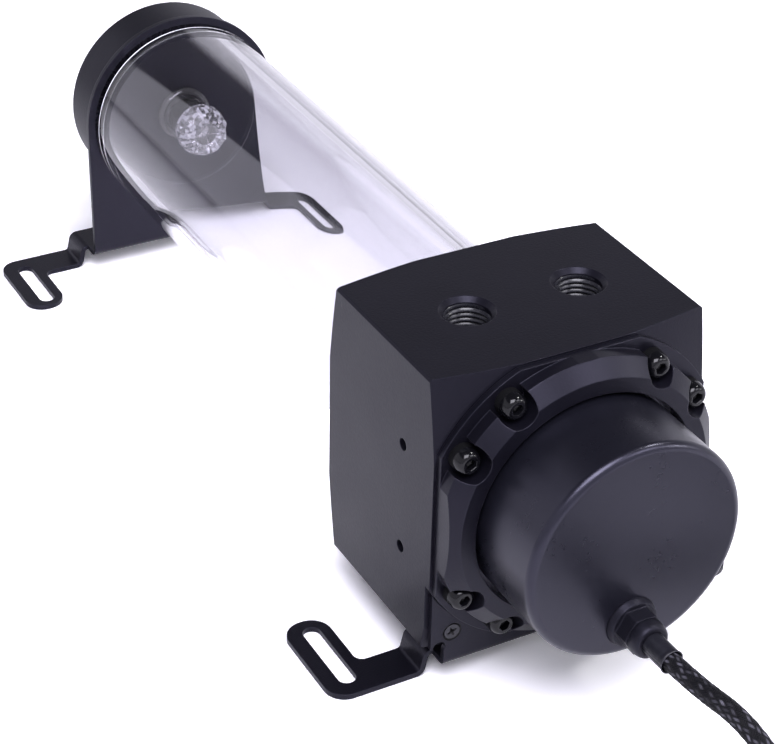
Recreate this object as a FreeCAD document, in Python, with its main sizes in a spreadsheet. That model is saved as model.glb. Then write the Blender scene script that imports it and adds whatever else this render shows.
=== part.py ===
import FreeCAD, Part
import math
import os
import re
import Sketcher

# Coolant pump reservoir: a pump with its top block, a clear reservoir tube, an end cap and two
# feet brackets. Every sub-part is drawn in one axis frame, in millimetres: y = 0 is the flat
# front face of the block, z = 0 is the axis of the tube, +Y runs to the rear and +Z is up.
# Each Placement then lifts it to the row frame, whose origin lies under the middle on the floor.

SIZES = {
    # the block
    "block_width": 75.3, "block_tall": 78.2, "block_depth": 53.0, "block_flat_r": 41.5,
    "block_corner_set": 3.3, "block_edge": 0.6, "port_left_x": -14.5, "port_right_x": 17.0,
    "port_y": 26.3, "port_r": 5.9, "port_depth": 14.0, "port_mouth": 1.2, "passage_r": 4.0,
    "passage_z": 14.0, "side_hole_y": 14.8, "side_hole_top": 14.5, "side_hole_low": -15.5,
    "side_hole_r": 1.65, "side_hole_depth": 8.0, "volute_r": 24.0, "volute_depth": 11.3,
    "eye_r": 8.0, "chamber_wall": 3.7,
    # tube and its seals
    "tube_r": 30.0, "tube_wall": 5.0, "tube_insert": 17.0, "tube_span": 177.1, "tube_gap": 0.1,
    "tube_seal_set": 8.7, "tube_seal_d": 2.4, "cap_seal_d": 2.1, "seal_side_gap": 0.1,
    # clamp ring and its screws
    "ring_flange_r": 42.0, "ring_flange_deep": 1.7, "ring_body_r": 38.7, "ring_shoulder": 5.2,
    "ring_bevel_r": 34.7, "ring_deep": 8.7, "ring_bore_gap": 1.2, "ring_half_wide": 36.8,
    "ring_half_tall": 38.6, "ring_screw_pcr": 37.65, "ring_screw_angle": 32.1,
    "ring_pocket_r": 4.6, "screw_hole_r": 1.7, "screw_r": 1.5, "screw_head_r": 3.15,
    "screw_head_deep": 3.5, "screw_reach": 8.0, "screw_bore_spare": 2.0,
    # pump housing, motor and impeller
    "can_r": 29.5, "can_length": 30.6, "can_wall": 2.0, "can_edge": 2.0, "flange_out": 2.8,
    "flange_deep": 3.0, "plate_deep": 1.0, "flange_gap": 0.1, "bowl_r": 14.2, "bowl_wall": 0.8,
    "post_r": 1.5, "post_below": 1.7, "ball_r": 2.0, "ball_gap": 0.06, "rotor_gap": 0.6,
    "socket_mouth_r": 2.4, "socket_deep": 2.2, "rotor_hole_r": 4.0, "disc_r": 18.5,
    "disc_lift": 0.4, "disc_deep": 1.4, "nose_r": 5.0, "nose_deep": 2.2, "vane_tall": 7.0,
    "vane_in_r": 6.6, "vane_edge": 0.6, "vane_sweep": 7.0, "vane_thick": 1.2, "vane_curve": 14.0,
    "vane_count": 6, "shroud_deep": 1.4, "stator_gap": 0.6, "board_deep": 1.6, "board_lift": 2.9,
    "inner_gap": 0.3, "pump_seal_set": 3.8, "pump_seal_d": 2.4,
    # brackets
    "sheet": 1.5, "plate_set": 0.5, "plate_inset": 1.35, "notch_above": 0.6, "notch_wide": 3.8,
    "arch_gap": 0.3, "recess_gap": 0.15, "block_clear": 4.4, "flange_lift": 6.0,
    "bracket_deep": 16.3, "strip_set": 5.7, "jog_angle": 78.0, "jog_round": 2.6,
    "slot_x": 53.1, "slot_long": 24.0, "slot_half": 2.4, "slot_set": 4.1, "foot_near": 5.3,
    "foot_far": 6.7, "foot_long": 31.0, "foot_flat": 0.4, "foot_crook": 2.5, "bend_r": 2.0,
    "relief_r": 1.8, "relief_bite": 0.4, "screw_in": 5.9, "screw_up": 4.5,
    "bracket_head_r": 3.0, "rear_lip": 2.1, "rear_slot_set": 4.7,
    # end cap and light guide
    "cap_lip": 0.6, "cap_deep": 16.1, "spigot_gap": 0.1, "spigot_deep": 5.8, "cap_bevel": 0.6,
    "cap_groove_set": 1.1, "led_r": 2.6, "led_wall": 6.4, "guide_face_set": 16.5, "guide_r": 9.2,
    "guide_head_deep": 6.2, "guide_face_r": 7.4, "guide_stem_r": 5.5, "guide_flange_r": 9.5,
    "guide_flange_deep": 2.6, "guide_seal_r": 7.5, "guide_seal_d": 1.5, "guide_end_gap": 0.3,
    "guide_bore_r": 3.0, "guide_tip": 3.0,
    # gland, sleeve, cable and connector
    "gland_x": 0.0, "gland_z": -20.0, "gland_base_r": 6.9, "gland_rim_r": 6.2,
    "gland_flange_deep": 1.8, "gland_flats": 9.6, "gland_body_deep": 4.2, "nut_r": 4.9,
    "nut_deep": 2.0, "nut_nose_r": 3.7, "nut_nose_deep": 1.4, "stem_r": 3.4, "stem_reach": 3.0,
    "sleeve_r": 2.75, "sleeve_long": 8.3, "cable_r": 2.5, "coil_r": 30.0, "coil_x": 54.0,
    "coil_y": -102.7, "coil_turn": 30.0, "tail_long": 28.0, "tie_wide": 2.6, "tie_deep": 0.8,
    "tie_sink": 0.2, "tie_head": 4.2, "plug_wide": 20.6, "plug_long": 22.0, "plug_tall": 9.0,
    "plug_edge": 1.0, "plug_pin_r": 1.3, "plug_pitch": 4.6, "plug_pin_deep": 9.0,
}

# Sizes that follow from those above, so that what mates keeps its seat when one of them changes.
LINKED = {
    "axis_height": "0.5 * block_tall + block_clear + sheet + flange_lift",
    "flange_top": "0 - 0.5 * block_tall - block_clear",
    "chamber_y": "block_depth - tube_insert - chamber_wall",
    "tube_seal_y": "block_depth - tube_seal_set",
    "flange_r": "can_r + flange_out",
    "ring_bore_r": "can_r + ring_bore_gap",
    "pump_seal_r": "flange_r - pump_seal_set",
    "rotor_r": "bowl_r - rotor_gap",
    "vane_out_r": "disc_r - vane_edge",
    "plate_half": "0.5 * block_width - plate_inset",
    "plate_notch_z": "notch_above - 0.5 * block_tall",
    "flange_half": "plate_half - notch_wide",
    "bracket_screw_x": "plate_half - screw_in",
    "bracket_screw_z": "screw_up - 0.5 * block_tall",
    "arch_r": "ring_flange_r + arch_gap",
    "recess_edge_r": "ring_flange_r + recess_gap",
    "jog_outer": "jog_round * tan(0.5 * jog_angle)",
    "jog_inner": "(jog_round - sheet) * tan(0.5 * jog_angle)",
    "jog_top_x": "flange_half + jog_outer",
    "jog_low_x": "jog_top_x + flange_lift / tan(jog_angle)",
    "foot_in": "slot_x - foot_near",
    "foot_out": "slot_x + foot_far",
    "foot_corner": "0.5 * (foot_near + foot_far) - foot_flat",
    "rear_arch_r": "tube_r + rear_lip",
    "cap_r": "tube_r + cap_lip",
}

doc = FreeCAD.newDocument("coolant_pump_reservoir")
sheet = doc.addObject("Spreadsheet::Sheet", "dims")
for row, (name, content) in enumerate({**SIZES, **LINKED}.items(), start=1):
    sheet.set("A%d" % row, name)
    sheet.set("B%d" % row, "=%s" % content if name in LINKED else str(content))
    sheet.setAlias("B%d" % row, name)
    doc.recompute()

FUNCTIONS = {"sqrt", "sin", "cos", "tan", "atan"}
WORD = re.compile(r"[a-z][a-z_]*")
ZERO = FreeCAD.Vector(0, 0, 0)
ALONG_Y = FreeCAD.Rotation(FreeCAD.Vector(1, 0, 0), -90)
parts = []


def linked(text):
    """The expression with each cell's name written as the other objects need it."""
    return WORD.sub(lambda m: m.group() if m.group() in FUNCTIONS else "dims." + m.group(), text)


def size(text):
    """What the expression comes to now, as a number."""
    return float(sheet.evalExpression(text))


# Lengths along the axis that several sub-parts share, each written once.
PLATE_FRONT = "(block_depth + tube_span)"
CAP_FRONT = "(block_depth + tube_span + sheet)"
CAP_REAR = "(block_depth + tube_span + sheet + cap_deep)"
SPIGOT = "(block_depth + tube_span + sheet - spigot_deep)"
SPIGOT_R = "(tube_r - tube_wall - spigot_gap)"
CAN_FRONT = "(0 - can_length)"
GLAND_FRONT = "(0 - can_length - gland_flange_deep - gland_body_deep - nut_deep - nut_nose_deep)"
FLOOR = "(0 - axis_height)"
FLANGE_LOW = "(flange_top - sheet)"
MIDDLE = "(0.5 * (%s + %s))" % (GLAND_FRONT, CAP_REAR)


def place(thing, label, x="0", y="0", z="0", turn=None):
    """Name a sub-part, move it from the axis frame to the row frame and list it."""
    thing.Label = label
    if turn is not None:
        thing.Placement = FreeCAD.Placement(ZERO, turn)
    thing.setExpression(".Placement.Base.x", linked(x))
    thing.setExpression(".Placement.Base.y", linked("%s - %s" % (y, MIDDLE)))
    thing.setExpression(".Placement.Base.z", linked("%s + axis_height" % z))
    parts.append(thing)
    return thing


def new_body(name):
    return doc.addObject("PartDesign::Body", name)


def new_sketch(body, name, role, offset="0"):
    """An empty sketch on one of the body's own planes, set off along the plane's normal."""
    sketch = body.newObject("Sketcher::SketchObject", name)
    plane = [item for item in body.Origin.OriginFeatures if item.Role == role][0]
    sketch.AttachmentSupport = [(plane, "")]
    sketch.MapMode = "FlatFace"
    sketch.setExpression(".AttachmentOffset.Base.z", linked(offset))
    return sketch


def tie_down(sketch, kind, geometry, spot, text):
    """One dimension of a sketch, from its origin or of a circle, bound to the sheet."""
    if kind == "Radius":
        number = sketch.addConstraint(Sketcher.Constraint(kind, geometry, size(text)))
    else:
        rule = Sketcher.Constraint(kind, -1, 1, geometry, spot, size(text))
        number = sketch.addConstraint(rule)
    sketch.setExpression("Constraints[%d]" % number, linked(text))


def arc_between(start, end, radius, left):
    """The shorter arc from start to end, whose centre is on the left or right of the way."""
    chord = end - start
    rise = math.sqrt(max(0.0, radius ** 2 - (chord.Length / 2) ** 2))
    side = FreeCAD.Vector(-chord.y, chord.x, 0).normalize() * (rise if left else -rise)
    centre = (start + end) * 0.5 + side
    angles = [math.atan2(p.y - centre.y, p.x - centre.x) for p in (start, end)]
    circle = Part.Circle(centre, FreeCAD.Vector(0, 0, 1), radius)
    low, high = angles if left else angles[::-1]
    return Part.ArcOfCircle(circle, low, high if high > low else high + 2 * math.pi)


def outline(body, name, role, corners, offset="0"):
    """A closed outline. A corner is (x, y), or (x, y, radius, side) when an arc leaves it."""
    sketch = new_sketch(body, name, role, offset)
    spots = [FreeCAD.Vector(size(c[0]), size(c[1]), 0) for c in corners]
    ends = []
    for i, corner in enumerate(corners):
        start, end = spots[i], spots[(i + 1) % len(spots)]
        if len(corner) == 2:
            sketch.addGeometry(Part.LineSegment(start, end), False)
            ends.append((1, 2))
            continue
        left = corner[3] == "left"
        sketch.addGeometry(arc_between(start, end, size(corner[2]), left), False)
        ends.append((1, 2) if left else (2, 1))
    for i in range(len(corners)):
        after = (i + 1) % len(corners)
        rule = Sketcher.Constraint("Coincident", i, ends[i][1], after, ends[after][0])
        sketch.addConstraint(rule)
    for i, corner in enumerate(corners):
        tie_down(sketch, "DistanceX", i, ends[i][0], corner[0])
        tie_down(sketch, "DistanceY", i, ends[i][0], corner[1])
        if len(corner) == 4:
            tie_down(sketch, "Radius", i, 0, corner[2])
    return sketch


def circles(body, name, role, rounds, offset="0"):
    """Circles given as (x, y, radius)."""
    sketch = new_sketch(body, name, role, offset)
    for i, (x, y, radius) in enumerate(rounds):
        centre = FreeCAD.Vector(size(x), size(y), 0)
        ring = Part.Circle(centre, FreeCAD.Vector(0, 0, 1), size(radius))
        sketch.addGeometry(ring, False)
        tie_down(sketch, "DistanceX", i, 3, x)
        tie_down(sketch, "DistanceY", i, 3, y)
        tie_down(sketch, "Radius", i, 0, radius)
    return sketch


def feature(body, kind, sketch, length=None, backwards=False, around="V_Axis"):
    """A pad, pocket, revolution or groove. What cuts has to leave less than there was."""
    doc.recompute()
    before = body.Shape.Volume if body.Tip else 0.0
    item = body.newObject("PartDesign::" + kind, kind + "_" + sketch.Name)
    item.Profile = sketch
    if kind in ("Revolution", "Groove"):
        item.ReferenceAxis = (sketch, [around])
        item.Angle = 360.0
    else:
        item.setExpression("Length", linked(length))
        item.Reversed = backwards
    doc.recompute()
    after = body.Shape.Volume
    cuts = kind in ("Pocket", "Groove")
    if (cuts and after >= before - 1e-3) or (not cuts and after <= before + 1e-3):
        raise RuntimeError("%s in %s changed the volume the wrong way" % (item.Name, body.Name))
    return item


def dress(body, kind, amount, wanted):
    """A fillet or chamfer on the edges of the tip that the test picks."""
    doc.recompute()
    tip = body.Tip
    names = ["Edge%d" % (i + 1) for i, edge in enumerate(tip.Shape.Edges) if wanted(edge)]
    item = body.newObject("PartDesign::" + kind, kind + "_" + body.Name)
    item.Base = (tip, names)
    item.setExpression("Size" if kind == "Chamfer" else "Radius", linked(amount))
    doc.recompute()
    return item


def repeat(body, kind, originals, **settings):
    """A mirror or pattern of some features, made the body's tip so that it counts."""
    item = body.newObject("PartDesign::" + kind, kind + "_" + body.Name)
    item.Originals = originals
    for key, setting in settings.items():
        setattr(item, key, setting)
    body.Tip = item
    doc.recompute()
    return item


def turned(name, corners):
    """A body of revolution around the tube's axis, from corners given as (radius, y)."""
    body = new_body(name)
    feature(body, "Revolution", outline(body, name + "_profile", "XY_Plane", corners))
    return body


def all_near(edge, axis, value, tolerance=0.01):
    """Whether the whole edge lies at one value of x, y or z."""
    return all(abs(getattr(v.Point, axis) - value) < tolerance for v in edge.Vertexes)


def is_round(edge, radius):
    return edge.Curve.TypeId == "Part::GeomCircle" and abs(edge.Curve.Radius - radius) < 0.01


def screw_spots():
    """The eight places of the clamp ring's screws, as (x, z) expressions."""
    spots = []
    for along, up in (("cos", "sin"), ("sin", "cos")):
        for side in ("", "0 - "):
            for rise in ("", "0 - "):
                x = "%sring_screw_pcr * %s(ring_screw_angle)" % (side, along)
                z = "%sring_screw_pcr * %s(ring_screw_angle)" % (rise, up)
                spots.append((x, z))
    return spots


def make_block():
    """The pump top: cut from bar, with cone-faced ends, volute, passages, ports and tube seat."""
    body = new_body("pump_top_block")
    half, tall = "0.5 * block_width", "0.5 * block_tall"
    square = [("0 - " + half, "0 - " + tall), (half, "0 - " + tall), (half, tall), ("0 - " + half, tall)]
    feature(body, "Pad", outline(body, "block_square", "XZ_Plane", square), "block_depth", True)
    wide, high = size(half), size(tall)
    dress(body, "Chamfer", "block_edge",
          lambda e: all_near(e, "x", wide) and all_near(e, "z", high)
          or all_near(e, "x", -wide) and all_near(e, "z", high)
          or all_near(e, "x", wide) and all_near(e, "z", -high)
          or all_near(e, "x", -wide) and all_near(e, "z", -high))
    # the cones of both faces go down to the corners, and a little past them
    corner = "0.5 * sqrt(block_width * block_width + block_tall * block_tall)"
    far = "1.1 * %s" % corner
    drop = "block_corner_set * (%s - block_flat_r) / (%s - block_flat_r)" % (far, corner)
    front = [("block_flat_r", "0"), (far, drop), (far, "0 - 1"), ("block_flat_r", "0 - 1")]
    rear = [("block_flat_r", "block_depth"), ("block_flat_r", "block_depth + 1"),
            (far, "block_depth + 1"), (far, "block_depth - " + drop)]
    feature(body, "Groove", outline(body, "front_cone", "XY_Plane", front))
    feature(body, "Groove", outline(body, "rear_cone", "XY_Plane", rear))
    # the volute, the eye to the reservoir, the chamber and the seat of the tube with its groove
    seat, seat_y = "tube_r + tube_gap", "block_depth - tube_insert"
    seal = "tube_r + tube_seal_d"
    low = "tube_seal_y - 0.5 * tube_seal_d - seal_side_gap"
    high_y = "tube_seal_y + 0.5 * tube_seal_d + seal_side_gap"
    bore = [("0", "0"), ("volute_r", "0"), ("volute_r", "volute_depth"), ("eye_r", "volute_depth"),
            ("eye_r", "chamber_y"), ("tube_r - tube_wall", "chamber_y"),
            ("tube_r - tube_wall", seat_y), (seat, seat_y), (seat, low), (seal, low),
            (seal, high_y), (seat, high_y), (seat, "block_depth"), ("0", "block_depth")]
    feature(body, "Groove", outline(body, "inner_bores", "XY_Plane", bore))
    inner = "pump_seal_r - 0.5 * pump_seal_d - seal_side_gap"
    outer = "pump_seal_r + 0.5 * pump_seal_d + seal_side_gap"
    groove = [(inner, "0"), (outer, "0"), (outer, "pump_seal_d"), (inner, "pump_seal_d")]
    feature(body, "Groove", outline(body, "pump_seal_groove", "XY_Plane", groove))
    # the two ports in the top, their mouths, and the passages from them to chamber and volute
    ports = [("port_left_x", "port_y", "port_r"), ("port_right_x", "port_y", "port_r")]
    feature(body, "Pocket", circles(body, "ports", "XY_Plane", ports, tall), "port_depth")
    mouth, top = size("port_r"), size(tall)
    dress(body, "Chamfer", "port_mouth", lambda e: is_round(e, mouth) and all_near(e, "z", top))
    drops = [("port_left_x", "port_y", "passage_r"), ("port_right_x", "port_y", "passage_r")]
    feature(body, "Pocket", circles(body, "port_drops", "XY_Plane", drops, tall), tall + " - passage_z")
    back = "port_y - passage_r"
    cross = circles(body, "inlet_cross", "XZ_Plane", [("port_left_x", "passage_z", "passage_r")],
                    "0 - (%s)" % back)
    feature(body, "Pocket", cross, "chamber_y + 1 - (%s)" % back)
    cross = circles(body, "outlet_cross", "XZ_Plane", [("port_right_x", "passage_z", "passage_r")])
    feature(body, "Pocket", cross, "port_y + passage_r")
    # tapped holes: the clamp ring's eight, the bracket's two and the two in the left side
    depth = "screw_reach + screw_bore_spare"
    taps = [(x, z, "screw_r") for x, z in screw_spots()]
    feature(body, "Pocket", circles(body, "ring_taps", "XZ_Plane", taps), depth)
    taps = [(side + "bracket_screw_x", "bracket_screw_z", "screw_r") for side in ("", "0 - ")]
    feature(body, "Pocket", circles(body, "bracket_taps", "XZ_Plane", taps), depth)
    holes = [("side_hole_y", z, "side_hole_r") for z in ("side_hole_top", "side_hole_low")]
    face = circles(body, "side_taps", "YZ_Plane", holes, "0 - " + half)
    feature(body, "Pocket", face, "side_hole_depth", True)
    # the shallow recess that lets the bracket's plate lie nearly flush beside the ring
    rise = "0 - sqrt(recess_edge_r * recess_edge_r - (%s + 1) * (%s + 1))" % (half, half)
    shelf = [("%s + 1" % half, rise, "recess_edge_r", "right"), ("0 - %s - 1" % half, rise),
             ("0 - %s - 1" % half, "0 - %s - 1" % tall), ("%s + 1" % half, "0 - %s - 1" % tall)]
    feature(body, "Pocket", outline(body, "bracket_recess", "XZ_Plane", shelf), "plate_set + sheet")
    place(body, "pump_top_block")


def make_clamp_ring():
    """The ring that holds the pump: turned, flats milled on four sides, eight screw pockets."""
    seat = "flange_r + flange_gap"
    deep = "0 - flange_deep - plate_deep"
    body = turned("clamp_ring", [
        (seat, "0"), ("ring_flange_r", "0"), ("ring_flange_r", "0 - ring_flange_deep"),
        ("ring_body_r", "0 - ring_flange_deep"), ("ring_body_r", "0 - ring_shoulder"),
        ("ring_bevel_r", "0 - ring_deep"), ("ring_bore_r", "0 - ring_deep"),
        ("ring_bore_r", deep), (seat, deep)])
    spots = screw_spots()
    for name, radius, start in (("pockets", "ring_pocket_r", "ring_flange_deep"),
                                ("holes", "screw_hole_r", "0")):
        rounds = [(x, z, radius) for x, z in spots]
        sketch = circles(body, "ring_" + name, "XZ_Plane", rounds, start)
        feature(body, "Pocket", sketch, "ring_deep + 2", True)
    wide, tall, far = "ring_half_wide", "ring_half_tall", "(ring_flange_r + 2)"
    for name, near, up in (("side", wide, False), ("top", tall, True)):
        for sign in ("", "0 - "):
            a, b = sign + near, sign + far
            corners = [(a, "0 - " + far), (b, "0 - " + far), (b, far), (a, far)]
            if up:
                corners = [(z, x) for x, z in corners]
            label = "ring_%s_%s" % (name, "low" if sign else "high")
            sketch = outline(body, label, "XZ_Plane", corners, "0 - 1")
            feature(body, "Pocket", sketch, "ring_deep + 3", True)
    place(body, "clamp_ring")


def round_bar(radius, start, end, x=0.0, z=0.0):
    """A plain cylinder along Y between two values of y."""
    return Part.makeCylinder(radius, end - start, FreeCAD.Vector(x, start, z), FreeCAD.Vector(0, 1, 0))


def make_screws():
    """Identical fasteners are one node each: a group of separate solids."""
    head, reach = -size("ring_flange_deep"), size("screw_reach")
    solids = []
    for x, z in screw_spots():
        x, z = size(x), size(z)
        top = head - size("screw_head_deep")
        cap = round_bar(size("screw_head_r"), top, head, x, z)
        rim = [e for e in cap.Edges if all_near(e, "y", top)]
        cap = cap.makeFillet(0.9, rim)
        solids.append(cap.fuse(round_bar(size("screw_r"), head, head + reach, x, z)).removeSplitter())
    node = doc.addObject("Part::Feature", "clamp_ring_screws")
    node.Shape = Part.makeCompound(solids)
    place(node, "clamp_ring_screws")
    face, solids = size("plate_set"), []
    for sign in (-1, 1):
        x, z = sign * size("bracket_screw_x"), size("bracket_screw_z")
        deep = size("bracket_head_r - screw_hole_r")
        head = Part.makeCone(size("bracket_head_r"), size("screw_hole_r"), deep,
                             FreeCAD.Vector(x, face, z), FreeCAD.Vector(0, 1, 0))
        neck = round_bar(size("screw_hole_r"), face + deep, face + size("sheet"), x, z)
        end = face + size("sheet") + size("screw_reach") - 1
        shank = round_bar(size("screw_r"), face + deep, end, x, z)
        solids.append(head.fuse([neck, shank]).removeSplitter())
    node = doc.addObject("Part::Feature", "front_bracket_screws")
    node.Shape = Part.makeCompound(solids)
    place(node, "front_bracket_screws")


def make_pump():
    """The motor's housing with what it holds, and the rotor that turns on its ball."""
    back = "0 - flange_deep - plate_deep"
    inner = "can_r - can_wall"
    body = turned("pump_housing", [
        ("0", CAN_FRONT), ("can_r - can_edge", CAN_FRONT, "can_edge", "left"),
        ("can_r", CAN_FRONT + " + can_edge"), ("can_r", back), ("flange_r", back),
        ("flange_r", "0 - plate_deep"), (inner, "0 - plate_deep"), (inner, CAN_FRONT + " + can_wall"),
        ("0", CAN_FRONT + " + can_wall")])
    hole = circles(body, "gland_hole", "XZ_Plane", [("gland_x", "gland_z", "stem_r")], "can_length")
    feature(body, "Pocket", hole, "can_wall")
    place(body, "pump_housing")
    # the thin steel plate between water and motor, with its bowl and the post in the middle
    outer = "(bowl_r + bowl_wall)"
    foot = "0 - plate_deep - sqrt(bowl_r * bowl_r - post_r * post_r)"
    body = turned("rotor_separator", [
        ("bowl_r", "0"), ("bowl_r", "0 - plate_deep", "bowl_r", "right"),
        ("post_r", foot), ("post_r", "0 - plate_deep - post_below"),
        ("0", "0 - plate_deep - post_below"), ("0", "0 - plate_deep - " + outer, outer, "left"),
        (outer, "0 - plate_deep"), ("flange_r", "0 - plate_deep"), ("flange_r", "0")])
    place(body, "rotor_separator")
    ball = doc.addObject("Part::Sphere", "bearing_ball")
    ball.setExpression("Radius", linked("ball_r"))
    place(ball, "bearing_ball", y="0 - plate_deep")
    stator = "bowl_r + bowl_wall + stator_gap"
    top = CAN_FRONT + " + can_wall + board_lift + board_deep"
    body = turned("motor_stator", [
        (stator, top), ("can_r - can_wall - inner_gap", top),
        ("can_r - can_wall - inner_gap", "0 - plate_deep"), (stator, "0 - plate_deep")])
    place(body, "motor_stator")
    board = doc.addObject("Part::Cylinder", "control_board")
    board.setExpression("Radius", linked("can_r - can_wall - inner_gap"))
    board.setExpression("Height", linked("board_deep"))
    place(board, "control_board", y="(%s - board_deep)" % top, turn=ALONG_Y)
    make_rotor()
    seal("pump_seal_ring", "pump_seal_r", "pump_seal_d", "0.5 * pump_seal_d")


def make_rotor():
    """The magnet bowl and the closed impeller are one piece, which spins on the ball."""
    socket = "(ball_r + ball_gap)"
    centre = "0 - plate_deep"
    low = "0 - plate_deep - sqrt(rotor_r * rotor_r - rotor_hole_r * rotor_hole_r)"
    disc = "disc_lift + disc_deep"
    body = turned("impeller_rotor", [
        ("0", centre + " + " + socket, socket, "right"), (socket, centre),
        ("socket_mouth_r", centre + " - socket_deep"), ("rotor_hole_r", low, "rotor_r", "left"),
        ("rotor_r", centre), ("rotor_r", "disc_lift"), ("disc_r", "disc_lift"), ("disc_r", disc),
        ("nose_r", disc), ("0", disc + " + nose_deep")])
    half = "0.5 * vane_thick"
    blade = outline(body, "vane", "XZ_Plane", [
        ("vane_in_r", "0 - " + half, "vane_curve", "left"),
        ("vane_out_r * cos(vane_sweep * 3)", "vane_sweep - " + half),
        ("vane_out_r * cos(vane_sweep * 3)", "vane_sweep + " + half, "vane_curve", "right"),
        ("vane_in_r", half)], "0 - (%s)" % disc)
    vane = feature(body, "Pad", blade, "vane_tall", True)
    count = int(size("vane_count"))
    axis = [item for item in body.Origin.OriginFeatures if item.Role == "Y_Axis"][0]
    repeat(body, "PolarPattern", [vane], Axis=(axis, [""]), Angle=360.0, Occurrences=count)
    lid = circles(body, "shroud", "XZ_Plane", [("0", "0", "disc_r"), ("0", "0", "eye_r")],
                  "0 - (%s + vane_tall)" % disc)
    feature(body, "Pad", lid, "shroud_deep", True)
    place(body, "impeller_rotor")


def seal(name, middle, section, y):
    """A rubber ring of round section around the axis."""
    ring = doc.addObject("Part::Torus", name)
    ring.setExpression("Radius1", linked(middle))
    ring.setExpression("Radius2", linked("0.5 * (%s)" % section))
    place(ring, name, y=y, turn=ALONG_Y)


def make_bracket(name, face, plate, crook, foot_from, slot_from, bore=None, screws=False):
    """Bent sheet: a plate, a flange under the body, and on each side a step down to a foot."""
    strip = "(%s + strip_set)" % face
    body = new_body(name)
    sketch = outline(body, name + "_plate", "XZ_Plane", plate, "0 - (%s)" % face)
    feature(body, "Pad", sketch, "sheet", True)
    low, top = FLANGE_LOW, "flange_top"
    flat = [("0 - flange_half", low), ("flange_half", low), ("flange_half", top), ("0 - flange_half", top)]
    sketch = outline(body, name + "_flange", "XZ_Plane", flat, "0 - (%s)" % face)
    feature(body, "Pad", sketch, "bracket_deep", True)
    # the step down to the foot: two bends of one tool, so the sheet keeps its thickness
    ground, lean, rise = FLOOR + " + sheet", "cos(jog_angle)", "sin(jog_angle)"
    upper = ("jog_top_x + jog_outer * " + lean, "flange_top - jog_outer * " + rise)
    lower = ("jog_low_x - jog_inner * " + lean, "%s + jog_inner * %s" % (ground, rise))
    under = [("%s - sheet * %s" % (x, rise), "%s - sheet * %s" % (z, lean)) for x, z in (upper, lower)]
    step = [("flange_half - 3", top), ("flange_half", top, "jog_round", "right"), upper,
            (*lower, "jog_round - sheet", "left"), ("jog_low_x + jog_inner", ground),
            ("foot_in + foot_corner", ground), ("foot_in + foot_corner", FLOOR),
            ("jog_low_x + jog_inner", FLOOR, "jog_round", "right"), under[1],
            (*under[0], "jog_round - sheet", "left"), ("flange_half", low), ("flange_half - 3", low)]
    sketch = outline(body, name + "_step", "XZ_Plane", step, "0 - (%s)" % strip)
    side = feature(body, "Pad", sketch, "bracket_deep - strip_set", True)
    # the foot: round-ended, with one long slot
    r, a, b = "foot_corner", "(%s)" % foot_from, "(%s + foot_long)" % foot_from
    foot = [("foot_in + %s" % r, a), ("foot_out - %s" % r, a, r, "left"), ("foot_out", "%s + %s" % (a, r)),
            ("foot_out", "%s - %s" % (b, r), r, "left"), ("foot_out - %s" % r, b),
            ("foot_in + %s" % r, b, r, "left"), ("foot_in", "%s - %s" % (b, r)),
            ("foot_in", "%s + %s" % (a, r), r, "left")]
    sketch = outline(body, name + "_foot", "XY_Plane", foot, FLOOR)
    pad = feature(body, "Pad", sketch, "sheet")
    h, a, b = "slot_half", "(%s)" % slot_from, "(%s + slot_long)" % slot_from
    slot = [("slot_x - %s" % h, "%s + %s" % (a, h), h, "left"), ("slot_x", a, h, "left"),
            ("slot_x + %s" % h, "%s + %s" % (a, h)), ("slot_x + %s" % h, "%s - %s" % (b, h), h, "left"),
            ("slot_x", b, h, "left"), ("slot_x - %s" % h, "%s - %s" % (b, h))]
    sketch = outline(body, name + "_slot", "XY_Plane", slot, FLOOR + " + sheet")
    cut = feature(body, "Pocket", sketch, "sheet")
    mirror = [item for item in body.Origin.OriginFeatures if item.Role == "YZ_Plane"][0]
    repeat(body, "Mirrored", [side, pad, cut], MirrorPlane=(mirror, [""]))
    front, bottom = size(face), size(low)
    dress(body, "Fillet", "bend_r", lambda e: all_near(e, "y", front) and all_near(e, "z", bottom))
    inner, turn = size("foot_in"), size(crook)
    dress(body, "Fillet", "foot_crook", lambda e: all_near(e, "y", turn)
          and (all_near(e, "x", inner) or all_near(e, "x", -inner)))
    if bore:
        sketch = circles(body, name + "_bore", "XZ_Plane", [("0", "0", bore)], "0 - (%s)" % face)
        feature(body, "Pocket", sketch, "sheet")
    if screws:
        rounds = [(s + "bracket_screw_x", "bracket_screw_z", "screw_hole_r") for s in ("", "0 - ")]
        sketch = circles(body, name + "_screws", "XZ_Plane", rounds, "0 - (%s)" % face)
        feature(body, "Pocket", sketch, "sheet")
        hole = size("screw_hole_r")
        dress(body, "Chamfer", "bracket_head_r - screw_hole_r",
              lambda e: is_round(e, hole) and all_near(e, "y", front))
        rounds = [("%s(flange_half + relief_r - relief_bite)" % s, "plate_notch_z", "relief_r")
                  for s in ("", "0 - ")]
        sketch = circles(body, name + "_reliefs", "XZ_Plane", rounds, "0 - (%s)" % face)
        feature(body, "Pocket", sketch, "sheet")
    place(body, name)


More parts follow.
